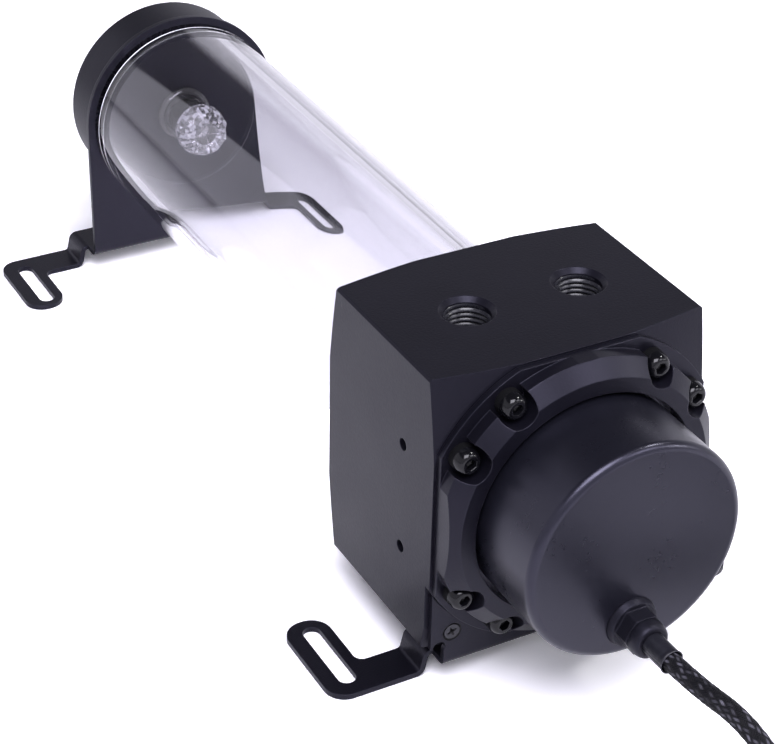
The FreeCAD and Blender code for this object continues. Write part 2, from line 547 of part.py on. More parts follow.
def make_brackets():
    """The front one straddles the clamp ring; the rear one is held by the end cap."""
    ear = "0 - sqrt(arch_r * arch_r - plate_half * plate_half)"
    plate = [("plate_half", ear, "arch_r", "right"), ("0 - plate_half", ear),
             ("0 - plate_half", "plate_notch_z"), ("0 - flange_half", "plate_notch_z"),
             ("0 - flange_half", FLANGE_LOW), ("flange_half", FLANGE_LOW),
             ("flange_half", "plate_notch_z"), ("plate_half", "plate_notch_z")]
    start = "plate_set + strip_set"
    make_bracket("front_bracket", "plate_set", plate, "plate_set + bracket_deep", start,
                 start + " + slot_set", screws=True)
    r = "rear_arch_r"
    plate = [(r, "0", r, "left"), ("0", r, r, "left"), ("0 - " + r, "0"), ("0 - " + r, FLANGE_LOW),
             (r, FLANGE_LOW)]
    rear = PLATE_FRONT + " + bracket_deep"
    make_bracket("rear_bracket", PLATE_FRONT, plate, PLATE_FRONT + " + strip_set",
                 rear + " - foot_long", rear + " - rear_slot_set - slot_long",
                 bore=SPIGOT_R + " + 0.5 * spigot_gap")


def make_reservoir():
    """The clear tube with its seals, and the end cap with the light guide screwed into it."""
    bore = "(tube_r - tube_wall)"
    body = turned("reservoir_tube", [
        (bore, "block_depth - tube_insert"), ("tube_r", "block_depth - tube_insert"),
        ("tube_r", PLATE_FRONT), (bore, PLATE_FRONT)])
    place(body, "reservoir_tube")
    seal("tube_front_seal", "tube_r + 0.5 * tube_seal_d", "tube_seal_d", "tube_seal_y")
    groove = bore + " - cap_seal_d"
    low = SPIGOT + " + cap_groove_set"
    high = low + " + cap_seal_d + 2 * seal_side_gap"
    wall = CAP_REAR + " - led_wall"
    body = turned("end_cap", [
        ("port_r", SPIGOT), (SPIGOT_R, SPIGOT), (SPIGOT_R, low), (groove, low), (groove, high),
        (SPIGOT_R, high), (SPIGOT_R, CAP_FRONT), ("cap_r - cap_bevel", CAP_FRONT),
        ("cap_r", CAP_FRONT + " + cap_bevel"), ("cap_r", CAP_REAR + " - cap_bevel"),
        ("cap_r - cap_bevel", CAP_REAR), ("led_r", CAP_REAR), ("led_r", wall), ("port_r", wall)])
    place(body, "end_cap")
    seal("end_cap_seal", bore + " - 0.5 * cap_seal_d", "cap_seal_d",
         low + " + seal_side_gap + 0.5 * cap_seal_d")
    face = SPIGOT + " - guide_face_set"
    neck = face + " + guide_head_deep"
    flange = SPIGOT + " - guide_flange_deep"
    inner = "guide_seal_r - 0.5 * guide_seal_d"
    outer = "guide_seal_r + 0.5 * guide_seal_d"
    seat = SPIGOT + " - guide_seal_d"
    end = wall + " - guide_end_gap"
    tip = face + " + guide_tip"
    body = turned("light_guide", [
        ("0", face), ("guide_face_r", face), ("guide_r", face + " + guide_r - guide_face_r"),
        ("guide_r", neck), ("guide_stem_r", neck), ("guide_stem_r", flange),
        ("guide_flange_r", flange), ("guide_flange_r", SPIGOT), (outer, SPIGOT), (outer, seat),
        (inner, seat), (inner, SPIGOT), ("port_r", SPIGOT), ("port_r", end),
        ("guide_bore_r", end), ("guide_bore_r", tip + " + guide_bore_r", "guide_bore_r", "right"),
        ("0", tip)])
    place(body, "light_guide")
    seal("light_guide_seal", "guide_seal_r", "guide_seal_d", SPIGOT + " - 0.5 * guide_seal_d")


def make_gland():
    """The cable gland in the pump's face, its nut, and the shrunk sleeve at the nut's mouth."""
    front = "0 - gland_flange_deep"
    neck = front + " - gland_body_deep"
    body = turned("cable_gland_body", [
        ("sleeve_r", "stem_reach"), ("stem_r", "stem_reach"), ("stem_r", "0"), ("gland_base_r", "0"),
        ("gland_rim_r", front), ("sleeve_r", front)])
    side = "(0.5 * gland_flats)"
    point = "(gland_flats / sqrt(3))"
    hexagon = [(point, "0"), ("0.5 * " + point, side), ("0 - 0.5 * " + point, side), ("0 - " + point, "0"),
               ("0 - 0.5 * " + point, "0 - " + side), ("0.5 * " + point, "0 - " + side)]
    sketch = outline(body, "gland_hexagon", "XZ_Plane", hexagon, "gland_flange_deep")
    feature(body, "Pad", sketch, "gland_body_deep")
    bore = circles(body, "gland_bore", "XZ_Plane", [("0", "0", "sleeve_r")],
                   "gland_flange_deep + gland_body_deep")
    feature(body, "Pocket", bore, "gland_body_deep")
    place(body, "cable_gland_body", x="gland_x", y=CAN_FRONT, z="gland_z")
    nose = neck + " - nut_deep"
    tip = nose + " - nut_nose_deep"
    body = turned("gland_nut", [
        ("sleeve_r", neck), ("nut_r", neck), ("nut_r", nose), ("nut_nose_r", tip), ("sleeve_r", tip)])
    place(body, "gland_nut", x="gland_x", y=CAN_FRONT, z="gland_z")
    body = turned("heat_shrink_sleeve", [
        ("cable_r", front), ("sleeve_r", front), ("sleeve_r", tip + " - sleeve_long"),
        ("cable_r", tip + " - sleeve_long")])
    place(body, "heat_shrink_sleeve", x="gland_x", y=CAN_FRONT, z="gland_z")


def cable_route():
    """The free stretch of the cable: out of the gland, down, and onto the coil's top turn."""
    height = size(FLOOR + " + 3 * cable_r")
    turn = math.radians(size("coil_turn"))
    heading = FreeCAD.Vector(math.sin(turn), -math.cos(turn), 0)
    out = FreeCAD.Vector(size("coil_x"), size("coil_y"), height)
    landing = out - FreeCAD.Vector(math.cos(turn), math.sin(turn), 0) * size("coil_r")
    start = FreeCAD.Vector(size("gland_x"), size(GLAND_FRONT), size("gland_z"))
    return [start, start + FreeCAD.Vector(0, -14.6, 0), start + FreeCAD.Vector(5.1, -33.3, -1.6),
            start + FreeCAD.Vector(9.2, -54.2, -18.8), landing - heading * 10.6, landing]


def rounded_wire(points):
    """Straight runs joined by tangent arcs as large as the runs allow, with their radii."""
    edges, radii, start = [], [], points[0]
    for before, corner, after in zip(points, points[1:], points[2:]):
        back, ahead = before - corner, after - corner
        half = (math.pi - back.getAngle(ahead)) / 2
        cut = 0.45 * min(back.Length, ahead.Length)
        radii.append(cut / math.tan(half))
        first, last = corner + back.normalize() * cut, corner + ahead.normalize() * cut
        bisector = (first + last) * 0.5 - corner
        centre = corner + bisector.normalize() * (radii[-1] / math.cos(half))
        middle = centre + (corner - centre).normalize() * radii[-1]
        edges.append(Part.makeLine(start, first))
        edges.append(Part.Arc(first, middle, last).toShape())
        start = last
    edges.append(Part.makeLine(start, points[-1]))
    return Part.Wire(edges), radii


def make_cable():
    """The free stretch, the coil of the unseen length, its tie and the connector it ends in."""
    points = cable_route()
    wire, radii = rounded_wire(points)
    disc = Part.makeCircle(size("cable_r"), points[0], points[1] - points[0])
    tube = wire.makePipeShell([Part.Wire([disc])], True, False)
    section = math.pi * size("cable_r") ** 2
    print("cable radii", [round(r, 1) for r in radii], "length", round(wire.Length, 1),
          "volume against section times length", round(tube.Volume / (section * wire.Length), 4))
    node = doc.addObject("Part::Feature", "pump_cable")
    node.Shape = tube
    place(node, "pump_cable")
    turn = FreeCAD.Rotation(FreeCAD.Vector(0, 0, 1), size("coil_turn"))
    spot = {"x": "coil_x", "y": "coil_y", "z": FLOOR, "turn": turn}
    # two turns, one on the other, and the end that runs on to the connector
    body = new_body("cable_coil")
    r, near, far = "cable_r", "coil_r - cable_r", "coil_r + cable_r"
    ring = outline(body, "coil_section", "XZ_Plane", [
        (near, r, r, "left"), ("coil_r", "0", r, "left"), (far, r), (far, "3 * cable_r", r, "left"),
        ("coil_r", "4 * cable_r", r, "left"), (near, "3 * cable_r")])
    feature(body, "Revolution", ring)
    tail = circles(body, "coil_tail", "XZ_Plane", [("0 - coil_r", r, r)])
    feature(body, "Pad", tail, "tail_long")
    place(body, "cable_coil", **spot)
    body = new_body("cable_tie")
    near, far, top = "coil_r - cable_r - tie_deep", "coil_r + cable_r + tie_deep", "4 * cable_r + tie_deep"
    band = outline(body, "tie_outer", "XZ_Plane", [(near, "0"), (far, "0"), (far, top), (near, top)],
                   "0 - 0.5 * tie_wide")
    feature(body, "Pad", band, "tie_wide")
    a, b, c, d = (near + " + tie_deep + tie_sink", far + " - tie_deep - tie_sink",
                  "tie_deep", top + " - tie_deep - tie_sink")
    gap = outline(body, "tie_inner", "XZ_Plane", [(a, c), (b, c), (b, d), (a, d)], "0.5 * tie_wide")
    feature(body, "Pocket", gap, "tie_wide")
    head = outline(body, "tie_head_outline", "XZ_Plane", [
        (far, "2 * cable_r"), (far + " + 0.6 * tie_head", "2 * cable_r"),
        (far + " + 0.6 * tie_head", "2 * cable_r + tie_head"), (far, "2 * cable_r + tie_head")],
        "0 - 0.5 * tie_head")
    feature(body, "Pad", head, "tie_head")
    place(body, "cable_tie", **spot)
    body = new_body("power_connector")
    wide, rear = "(0.5 * plug_wide)", "(0 - tail_long)"
    left, right = "0 - coil_r - " + wide, "0 - coil_r + " + wide
    box = outline(body, "plug_box", "XZ_Plane", [
        (left, "0"), (right, "0"), (right, "plug_tall"), (left, "plug_tall")], "tail_long")
    feature(body, "Pad", box, "plug_long")
    dress(body, "Fillet", "plug_edge", lambda e: e.Curve.TypeId == "Part::GeomLine"
          and abs(e.Vertexes[0].Point.y - e.Vertexes[-1].Point.y) > 5)
    pins = [("0 - coil_r + (%s) * plug_pitch" % step, "0.5 * plug_tall", "plug_pin_r")
            for step in ("0 - 1.5", "0 - 0.5", "0.5", "1.5")]
    sketch = circles(body, "plug_sockets", "XZ_Plane", pins, "tail_long + plug_long")
    feature(body, "Pocket", sketch, "plug_pin_deep")
    place(body, "power_connector", **spot)


make_block()
make_clamp_ring()
make_screws()
make_pump()
make_brackets()
make_reservoir()
make_gland()
make_cable()
doc.recompute()

for item in doc.Objects:
    if "Invalid" in item.State or "Error" in item.State:
        raise RuntimeError("%s did not build" % item.Name)
for part in parts:
    if part.Shape.isNull() or not part.Shape.isValid() or not part.Shape.Solids:
        raise RuntimeError("%s has no sound shape" % part.Label)

os.makedirs("parts", exist_ok=True)
for part in parts:
    part.Shape.exportStep("parts/%s.step" % part.Label)
    box = part.Shape.BoundBox
    print("%-22s %9.1f mm3  x %.1f %.1f  y %.1f %.1f  z %.1f %.1f" % (
        part.Label, part.Shape.Volume, box.XMin, box.XMax, box.YMin, box.YMax, box.ZMin, box.ZMax))
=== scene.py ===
import math
import bpy
import bmesh
from mathutils import Matrix, Vector


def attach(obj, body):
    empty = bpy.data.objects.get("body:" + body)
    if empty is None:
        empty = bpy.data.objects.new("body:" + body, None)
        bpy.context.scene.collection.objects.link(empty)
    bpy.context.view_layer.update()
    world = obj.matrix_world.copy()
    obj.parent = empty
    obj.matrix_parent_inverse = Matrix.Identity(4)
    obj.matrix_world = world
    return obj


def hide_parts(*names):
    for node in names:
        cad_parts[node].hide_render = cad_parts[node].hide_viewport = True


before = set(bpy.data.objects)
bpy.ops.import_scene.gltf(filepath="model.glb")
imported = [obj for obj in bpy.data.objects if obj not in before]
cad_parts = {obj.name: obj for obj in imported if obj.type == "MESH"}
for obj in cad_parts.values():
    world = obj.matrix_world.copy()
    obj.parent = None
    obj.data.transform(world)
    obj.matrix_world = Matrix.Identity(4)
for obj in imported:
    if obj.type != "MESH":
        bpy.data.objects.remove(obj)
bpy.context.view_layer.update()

# The camera. A long lens looks down on the pump's front left corner, and turns a little on its
# own axis, as the one that took the photograph did.
CAMERA_SPOT = (-0.250413, -0.464583, 0.360070)
CAMERA_AZIMUTH, CAMERA_DOWN, CAMERA_ROLL = 29.1007, 32.4410, -1.4059
SENSOR_WIDE, LENS_LONG = 36.0, 101.50
azimuth, down, roll = (math.radians(v) for v in (CAMERA_AZIMUTH, CAMERA_DOWN, CAMERA_ROLL))
forward = Vector((math.sin(azimuth) * math.cos(down), math.cos(azimuth) * math.cos(down), -math.sin(down)))
level = Vector((math.cos(azimuth), -math.sin(azimuth), 0))
below = forward.cross(level)
across = level * math.cos(roll) + below * math.sin(roll)
below = below * math.cos(roll) - level * math.sin(roll)
lens = bpy.data.cameras.new("camera")
lens.sensor_width, lens.lens = SENSOR_WIDE, LENS_LONG
lens.clip_start, lens.clip_end = 0.02, 20.0
camera = bpy.data.objects.new("camera", lens)
bpy.context.collection.objects.link(camera)
camera.matrix_world = Matrix.Translation(Vector(CAMERA_SPOT)) @ Matrix(
    (across, -below, -forward)).transposed().to_4x4()
bpy.context.scene.camera = camera
bpy.context.scene.view_settings.view_transform = "Standard"

# The cable: copper leads inside a braid of black polyester yarn. It leaves the gland, sags to the
# shelf and ends in its connector. The length that the photograph does not show is a coil of two
# turns, held by a nylon tie.
CABLE_R, COIL_R, COIL_TURN = 2.5, 30.0, math.radians(30.0)
COIL_X, COIL_Y, TAIL, SPREAD = 54.0, -102.7, 28.0, 5.1
TAIL_NEAR, TAIL_FAR, TAIL_LAG = 9.0, 18.0, 0.8
GLAND_X, GLAND_Z, GLAND_FRONT = 0.0, -20.0, -40.0
AXIS_UP, FRONT_FACE = 51.0, 103.85
SAG, LANDING_RUN = ((0, -14.6, 0), (5.1, -33.3, -1.6), (9.2, -54.2, -18.8)), 10.6
SINKS_AT, SINKS_OVER, SWINGS_AT, SWINGS_OVER = 0.82, 0.18, 1.62, 0.2
heading = Vector((math.sin(COIL_TURN), -math.cos(COIL_TURN), 0))
sideways = Vector((math.cos(COIL_TURN), math.sin(COIL_TURN), 0))
coil_middle = Vector((COIL_X, COIL_Y, 0))
landing = coil_middle - sideways * COIL_R + Vector((0, 0, 3 * CABLE_R - AXIS_UP))
gland_mouth = Vector((GLAND_X, GLAND_FRONT, GLAND_Z))
cable_points = [gland_mouth, *(gland_mouth + Vector(drop) for drop in SAG), landing - heading * LANDING_RUN]
STEPS = 16
for step in range(2 * STEPS):
    round_turn = (step + 0.5) / STEPS
    low = min(1.0, max(0.0, (round_turn - SINKS_AT) / SINKS_OVER))
    out = min(1.0, max(0.0, (round_turn - SWINGS_AT) / SWINGS_OVER))
    radius = (COIL_R + SPREAD * out) / math.cos(math.pi / STEPS)
    turn = -2 * math.pi * round_turn
    spoke = -sideways * math.cos(turn) - heading * math.sin(turn)
    height = CABLE_R * (3.0 - 2.0 * low) - AXIS_UP
    cable_points.append(coil_middle + spoke * radius + Vector((0, 0, height)))
leaving = coil_middle - sideways * (COIL_R + SPREAD) + Vector((0, 0, CABLE_R - AXIS_UP))
cable_points += [leaving + heading * TAIL_NEAR, leaving + heading * TAIL_FAR + sideways * (SPREAD - TAIL_LAG),
                 leaving + heading * TAIL + sideways * SPREAD]


def at(x, y, z):
    """A point in metres, from millimetres along the part's own axes: y from the block's front
    face, x and z from the middle of the tube."""
    return Vector((x, y - FRONT_FACE, z + AXIS_UP)) / 1000.0


route = bpy.data.curves.new("cable_route", "CURVE")
route.dimensions = "3D"
route.resolution_u = 32
spline = route.splines.new("NURBS")
spline.points.add(len(cable_points) - 1)
for point, spot in zip(spline.points, cable_points):
    point.co = (*at(*spot), 1)
spline.order_u = 3
spline.use_endpoint_u = True
guide = bpy.data.objects.new("cable_route", route)
bpy.context.collection.objects.link(guide)
line = bpy.data.meshes.new_from_object(guide)
cable_line = [v.co.copy() for v in line.vertices]
bpy.data.objects.remove(guide)
bpy.data.meshes.remove(line)


def along_line(name, line, radius_at, sides, ends=False):
    """A tube along a line of points, with u round it and v in turns of its first radius. The
    radius, in metres, is a function of u, v and the length so far."""
    turn_long = 2 * math.pi * radius_at(0.0, 0.0, 0.0)
    points, faces, coords, along = [], [], [], 0.0
    ahead = (line[1] - line[0]).normalized()
    side = ahead.cross(Vector((0, 0, 1))).normalized()
    for i, spot in enumerate(line):
        before, after = line[max(i - 1, 0)], line[min(i + 1, len(line) - 1)]
        ahead = (after - before).normalized()
        side = (side - ahead * side.dot(ahead)).normalized()
        upper = side.cross(ahead)
        if i:
            along += (spot - line[i - 1]).length
        for k in range(sides + 1):
            u, v = k / sides, along / turn_long
            angle = 2 * math.pi * u
            reach = radius_at(u, v, along)
            points.append(spot + (side * math.cos(angle) + upper * math.sin(angle)) * reach)
            coords.append((u, v))
    for i in range(len(line) - 1):
        for k in range(sides):
            a = i * (sides + 1) + k
            faces.append((a, a + 1, a + sides + 2, a + sides + 1))
    if ends:
        faces += [tuple(range(sides, -1, -1)), tuple(range(len(points) - sides - 1, len(points)))]
    mesh = bpy.data.meshes.new(name)
    mesh.from_pydata([tuple(p) for p in points], [], faces)
    layer = mesh.uv_layers.new(name="along")
    for loop in mesh.loops:
        layer.data[loop.index].uv = coords[loop.vertex_index]
    for face in mesh.polygons:
        face.use_smooth = True
    piece = bpy.data.objects.new(name, mesh)
    bpy.context.collection.objects.link(piece)
    return piece


# Two families of strands run round the cable, and pass over and under each other in turn. Each
# strand is four yarns, and the crowns of some of its crossings carry a painted glint.
STRANDS, LAY, STRAND_HIGH, YARNS = 10.0, 5.0, 0.16, 4
PAINTED_GLINT_FROM, PAINTED_GLINT_GAIN, PAINTED_GLINT_FALL = 0.35, 1.6, 4.0


def braid_radius(u, v, along):
    right, left = STRANDS * u + LAY * v, STRANDS * u - LAY * v
    over = (math.floor(right) + math.floor(left)) % 2 == 0
    crown = abs(math.sin(math.pi * (right if over else left)))
    return (CABLE_R - STRAND_HIGH * (1.0 - crown)) / 1000.0 if along else CABLE_R / 1000.0


def sum_up(tree, kind, *values):
    """One Math node; each value is a number or another node's output."""
    node = tree.nodes.new("ShaderNodeMath")
    node.operation = kind
    for socket, value in zip(node.inputs, values):
        if isinstance(value, (int, float)):
            socket.default_value = value
        else:
            tree.links.new(value, socket)
    return node.outputs[0]


def blend_colour(tree, mask, first, second):
    """A Mix node between two colours or outputs."""
    node = tree.nodes.new("ShaderNodeMix")
    node.data_type = "RGBA"
    tree.links.new(mask, node.inputs["Factor"])
    for socket, value in ((node.inputs["A"], first), (node.inputs["B"], second)):
        if isinstance(value, tuple):
            socket.default_value = (*value, 1)
        else:
            tree.links.new(value, socket)
    return node.outputs["Result"]


def noise(tree, scale):
    """A Noise texture over the surface's own coordinates."""
    node = tree.nodes.new("ShaderNodeTexNoise")
    node.inputs["Scale"].default_value = scale
    node.inputs["Detail"].default_value = 2.0
    tree.links.new(tree.nodes.new("ShaderNodeTexCoord").outputs["Object"], node.inputs["Vector"])
    return node.outputs["Fac"]


def material(name, rough=0.5, colour=(0.5, 0.5, 0.5), **sockets):
    """A new material with its Principled shader, whose fixed values are set on its own sockets."""
    made = bpy.data.materials.new(name)
    made.use_nodes = True
    shader = made.node_tree.nodes["Principled BSDF"]
    shader.inputs["Roughness"].default_value = rough
    shader.inputs["Base Color"].default_value = (*colour, 1)
    for socket, value in sockets.items():
        shader.inputs[socket.replace("_", " ")].default_value = value
    return made, made.node_tree, shader


braid, tree, shader = material("braided_yarn", rough=0.55, Specular_IOR_Level=0.18)
split = tree.nodes.new("ShaderNodeSeparateXYZ")
tree.links.new(tree.nodes.new("ShaderNodeUVMap").outputs["UV"], split.inputs[0])
around = sum_up(tree, "MULTIPLY", split.outputs[0], STRANDS)
onward = sum_up(tree, "MULTIPLY", split.outputs[1], LAY)
right_lay = sum_up(tree, "ADD", around, onward)
left_lay = sum_up(tree, "SUBTRACT", around, onward)
cell_right, cell_left = sum_up(tree, "FLOOR", right_lay), sum_up(tree, "FLOOR", left_lay)
cell_sum = sum_up(tree, "ADD", cell_right, cell_left)
over = sum_up(tree, "LESS_THAN", sum_up(tree, "FLOORED_MODULO", cell_sum, 2.0), 0.5)
both = []
for lay in (right_lay, left_lay):
    crown = sum_up(tree, "ABSOLUTE", sum_up(tree, "SINE", sum_up(tree, "MULTIPLY", lay, math.pi)))
    threads = sum_up(tree, "ABSOLUTE", sum_up(tree, "SINE", sum_up(tree, "MULTIPLY", lay, YARNS * math.pi)))
    both.append((crown, threads))
under = sum_up(tree, "SUBTRACT", 1.0, over)
crown, threads = (sum_up(tree, "ADD", sum_up(tree, "MULTIPLY", over, both[0][i]),
                         sum_up(tree, "MULTIPLY", under, both[1][i])) for i in range(2))
ends = sum_up(tree, "ADD", sum_up(tree, "MULTIPLY", over, both[1][0]),
              sum_up(tree, "MULTIPLY", under, both[0][0]))
pair = tree.nodes.new("ShaderNodeCombineXYZ")
tree.links.new(sum_up(tree, "SUBTRACT", cell_right, cell_left), pair.inputs[0])
tree.links.new(sum_up(tree, "FLOORED_MODULO", cell_sum, 2 * STRANDS), pair.inputs[1])
chance = tree.nodes.new("ShaderNodeTexWhiteNoise")
tree.links.new(pair.outputs[0], chance.inputs["Vector"])
# Painted glint: a pale colour on the crowns of randomly chosen crossings.
painted_glint_chance = sum_up(tree, "SUBTRACT", chance.outputs["Value"], PAINTED_GLINT_FROM)
painted_glint_chance = sum_up(tree, "MAXIMUM", sum_up(tree, "MULTIPLY", painted_glint_chance, PAINTED_GLINT_GAIN), 0.0)
painted_braid_glint = sum_up(tree, "MULTIPLY", sum_up(tree, "MULTIPLY", sum_up(tree, "POWER", crown, PAINTED_GLINT_FALL), ends),
                    sum_up(tree, "MULTIPLY", painted_glint_chance, sum_up(tree, "ADD", 0.5, threads)))
tree.links.new(blend_colour(tree, painted_braid_glint, (0.004, 0.0039, 0.006), (0.17, 0.165, 0.205)),
               shader.inputs["Base Color"])
bump = tree.nodes.new("ShaderNodeBump")
bump.inputs["Distance"].default_value = 0.00015
tree.links.new(sum_up(tree, "ADD", crown, threads), bump.inputs["Height"])
tree.links.new(bump.outputs[0], shader.inputs["Normal"])
cable = along_line("cable", cable_line, braid_radius, 60, ends=True)
cable.data.materials.append(braid)
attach(cable, "reservoir")
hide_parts("pump_cable", "cable_coil")

# The sleeve: black heat-shrink tube, shrunk over the first centimetre of the braid. It starts
# inside the gland, and its cut end stands a little open, with a paler edge.
SLEEVE_R, SLEEVE_OUT, SLEEVE_IN, SLEEVE_FLARE, FLARE_LONG, RIPPLE = 2.75, 8.3, 7.0, 0.25, 1.1, 0.03
sleeve_spots = [at(GLAND_X, GLAND_FRONT + inside, GLAND_Z) for inside in (SLEEVE_IN, SLEEVE_IN / 2)]
gone = 0.0
for before, spot in zip(cable_line, cable_line[1:]):
    sleeve_spots.append(before)
    gone += (spot - before).length * 1000
    if gone > SLEEVE_OUT:
        break
SLEEVE_LONG = sum((b - a).length for a, b in zip(sleeve_spots, sleeve_spots[1:]))


def sleeve_radius(u, v, along):
    left = (SLEEVE_LONG - along) * 1000
    open_end = max(0.0, 1.0 - left / FLARE_LONG) ** 2
    ripple = RIPPLE * math.sin(2 * math.pi * (3 * u + 0.2 * v)) * min(1.0, left)
    return (SLEEVE_R + SLEEVE_FLARE * open_end + ripple) / 1000


sleeve = along_line("shrink_sleeve", sleeve_spots, sleeve_radius, 48)
thick = sleeve.modifiers.new("wall", "SOLIDIFY")
thick.thickness, thick.offset, thick.use_rim = 0.00022, -1.0, True
thick.material_offset_rim = 1
shrunk, tree, shader = material("shrunk_sleeve", rough=0.4, colour=(0.008, 0.008, 0.012),
                                Specular_IOR_Level=0.35)
bump = tree.nodes.new("ShaderNodeBump")
bump.inputs["Distance"].default_value = 0.0002
bump.inputs["Strength"].default_value = 0.5
tree.links.new(noise(tree, 700.0), bump.inputs["Height"])
tree.links.new(bump.outputs[0], shader.inputs["Normal"])
tree.links.new(blend_colour(tree, noise(tree, 300.0), (0.005, 0.005, 0.008), (0.011, 0.011, 0.016)),
               shader.inputs["Base Color"])
cut_edge, tree, shader = material("sleeve_cut_edge", rough=0.5)
tree.links.new(blend_colour(tree, noise(tree, 900.0), (0.02, 0.02, 0.026), (0.06, 0.058, 0.075)),
               shader.inputs["Base Color"])
for made in (shrunk, cut_edge):
    sleeve.data.materials.append(made)
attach(sleeve, "reservoir")
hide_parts("heat_shrink_sleeve")


def add(name, points, faces, sharp=38.0):
    """A closed mesh from points and faces, smooth except where it turns sharply."""
    mesh = bpy.data.meshes.new(name)
    mesh.from_pydata([tuple(p) for p in points], [], faces)
    work = bmesh.new()
    work.from_mesh(mesh)
    bmesh.ops.remove_doubles(work, verts=work.verts, dist=1e-7)
    bmesh.ops.recalc_face_normals(work, faces=work.faces)
    work.to_mesh(mesh)
    work.free()
    for face in mesh.polygons:
        face.use_smooth = True
    mesh.set_sharp_from_angle(angle=math.radians(sharp))
    piece = bpy.data.objects.new(name, mesh)
    bpy.context.collection.objects.link(piece)
    return piece


def surface_group():
    """A shader group for plain hard surfaces: small changes of colour and roughness, a fine bump,
    and edges that are a little rounded and paler where hands and tools have rubbed them."""
    group = bpy.data.node_groups.new("hard_surface", "ShaderNodeTree")
    for name, kind, value in (("Colour", "NodeSocketColor", (0.02, 0.02, 0.02, 1)),
                              ("Edge Colour", "NodeSocketColor", (0.05, 0.05, 0.06, 1)),
                              ("Mottle", "NodeSocketFloat", 0.2), ("Roughness", "NodeSocketFloat", 0.4),
                              ("Spread", "NodeSocketFloat", 0.1), ("Patches", "NodeSocketFloat", 60.0),
                              ("Grain", "NodeSocketFloat", 1500.0), ("Depth", "NodeSocketFloat", 0.1),
                              ("Edge", "NodeSocketFloat", 0.0002)):
        group.interface.new_socket(name, in_out="INPUT", socket_type=kind).default_value = value
    for name, kind in (("Colour", "NodeSocketColor"), ("Roughness", "NodeSocketFloat"),
                       ("Normal", "NodeSocketVector")):
        group.interface.new_socket(name, in_out="OUTPUT", socket_type=kind)
    given = group.nodes.new("NodeGroupInput").outputs
    made = group.nodes.new("NodeGroupOutput").inputs
    place = group.nodes.new("ShaderNodeTexCoord").outputs["Object"]
    cloud, fine = (group.nodes.new("ShaderNodeTexNoise") for _ in range(2))
    for texture, scale, detail in ((cloud, "Patches", 4.0), (fine, "Grain", 2.0)):
        group.links.new(place, texture.inputs["Vector"])
        group.links.new(given[scale], texture.inputs["Scale"])
        texture.inputs["Detail"].default_value = detail
    swing = sum_up(group, "SUBTRACT", cloud.outputs["Fac"], 0.5)
    factor = sum_up(group, "ADD", 1.0, sum_up(group, "MULTIPLY", sum_up(group, "MULTIPLY", swing, 2.0),
                                              given["Mottle"]))
    tinted = group.nodes.new("ShaderNodeVectorMath")
    tinted.operation = "SCALE"
    group.links.new(given["Colour"], tinted.inputs[0])
    group.links.new(factor, tinted.inputs["Scale"])
    bevel = group.nodes.new("ShaderNodeBevel")
    bevel.samples = 6
    group.links.new(given["Edge"], bevel.inputs["Radius"])
    facing = group.nodes.new("ShaderNodeVectorMath")
    facing.operation = "DOT_PRODUCT"
    group.links.new(bevel.outputs[0], facing.inputs[0])
    group.links.new(group.nodes.new("ShaderNodeNewGeometry").outputs["Normal"], facing.inputs[1])
    worn = sum_up(group, "MULTIPLY", sum_up(group, "SUBTRACT", 1.0, facing.outputs["Value"]), 5.0)
    worn = sum_up(group, "MINIMUM", sum_up(group, "MAXIMUM", worn, 0.0), 1.0)
    worn = sum_up(group, "MULTIPLY", worn, sum_up(group, "ADD", cloud.outputs["Fac"], 0.25))
    group.links.new(blend_colour(group, worn, tinted.outputs[0], given["Edge Colour"]), made["Colour"])
    uneven = sum_up(group, "ADD", swing, sum_up(group, "SUBTRACT", fine.outputs["Fac"], 0.5))
    uneven = sum_up(group, "MULTIPLY", uneven, given["Spread"])
    group.links.new(sum_up(group, "ADD", given["Roughness"], uneven), made["Roughness"])
    bump = group.nodes.new("ShaderNodeBump")
    bump.inputs["Distance"].default_value = 0.0002
    group.links.new(given["Depth"], bump.inputs["Strength"])
    group.links.new(fine.outputs["Fac"], bump.inputs["Height"])
    group.links.new(bevel.outputs[0], bump.inputs["Normal"])
    group.links.new(bump.outputs[0], made["Normal"])
    return group


hard_surface = surface_group()


def finished(name, colour, rough, edge_colour=None, mottle=0.2, spread=0.1, patches=60.0, grain=1500.0,
             depth=0.1, edge=0.0002, **sockets):
    """A material whose colour, roughness and normal come from the hard surface group."""
    made, tree, shader = material(name, rough, colour, **sockets)
    node = tree.nodes.new("ShaderNodeGroup")
    node.node_tree = hard_surface
    node.inputs["Colour"].default_value = (*colour, 1)
    node.inputs["Edge Colour"].default_value = (*(edge_colour or [1.6 * c for c in colour]), 1)
    for socket, value in (("Mottle", mottle), ("Roughness", rough), ("Spread", spread), ("Edge", edge),
                          ("Patches", patches), ("Grain", grain), ("Depth", depth)):
        node.inputs[socket].default_value = value
    tree.links.new(node.outputs["Colour"], shader.inputs["Base Color"])
    tree.links.new(node.outputs["Roughness"], shader.inputs["Roughness"])
    tree.links.new(node.outputs["Normal"], shader.inputs["Normal"])
    return made


def wear(node_name, made):
    """Gives a CAD node's object a material."""
    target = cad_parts[node_name]
    target.data.materials.clear()
    target.data.materials.append(made)


# The cable tie: a moulded nylon strap pulled round both turns of the coil, with its lock outside
# and the cut end of the strap standing out of it.
TIE_WIDE, TIE_DEEP, TIE_HEAD = 2.6, 0.8, 4.2
nylon = finished("tie_nylon", (0.012, 0.012, 0.015), 0.42, grain=2500.0)


def by_coil(out, along, up):
    """A point beside the coil: outwards from its middle, along the cable, and up from the floor."""
    spot = coil_middle + sideways * out - heading * along
    return at(spot.x, spot.y, up - AXIS_UP)


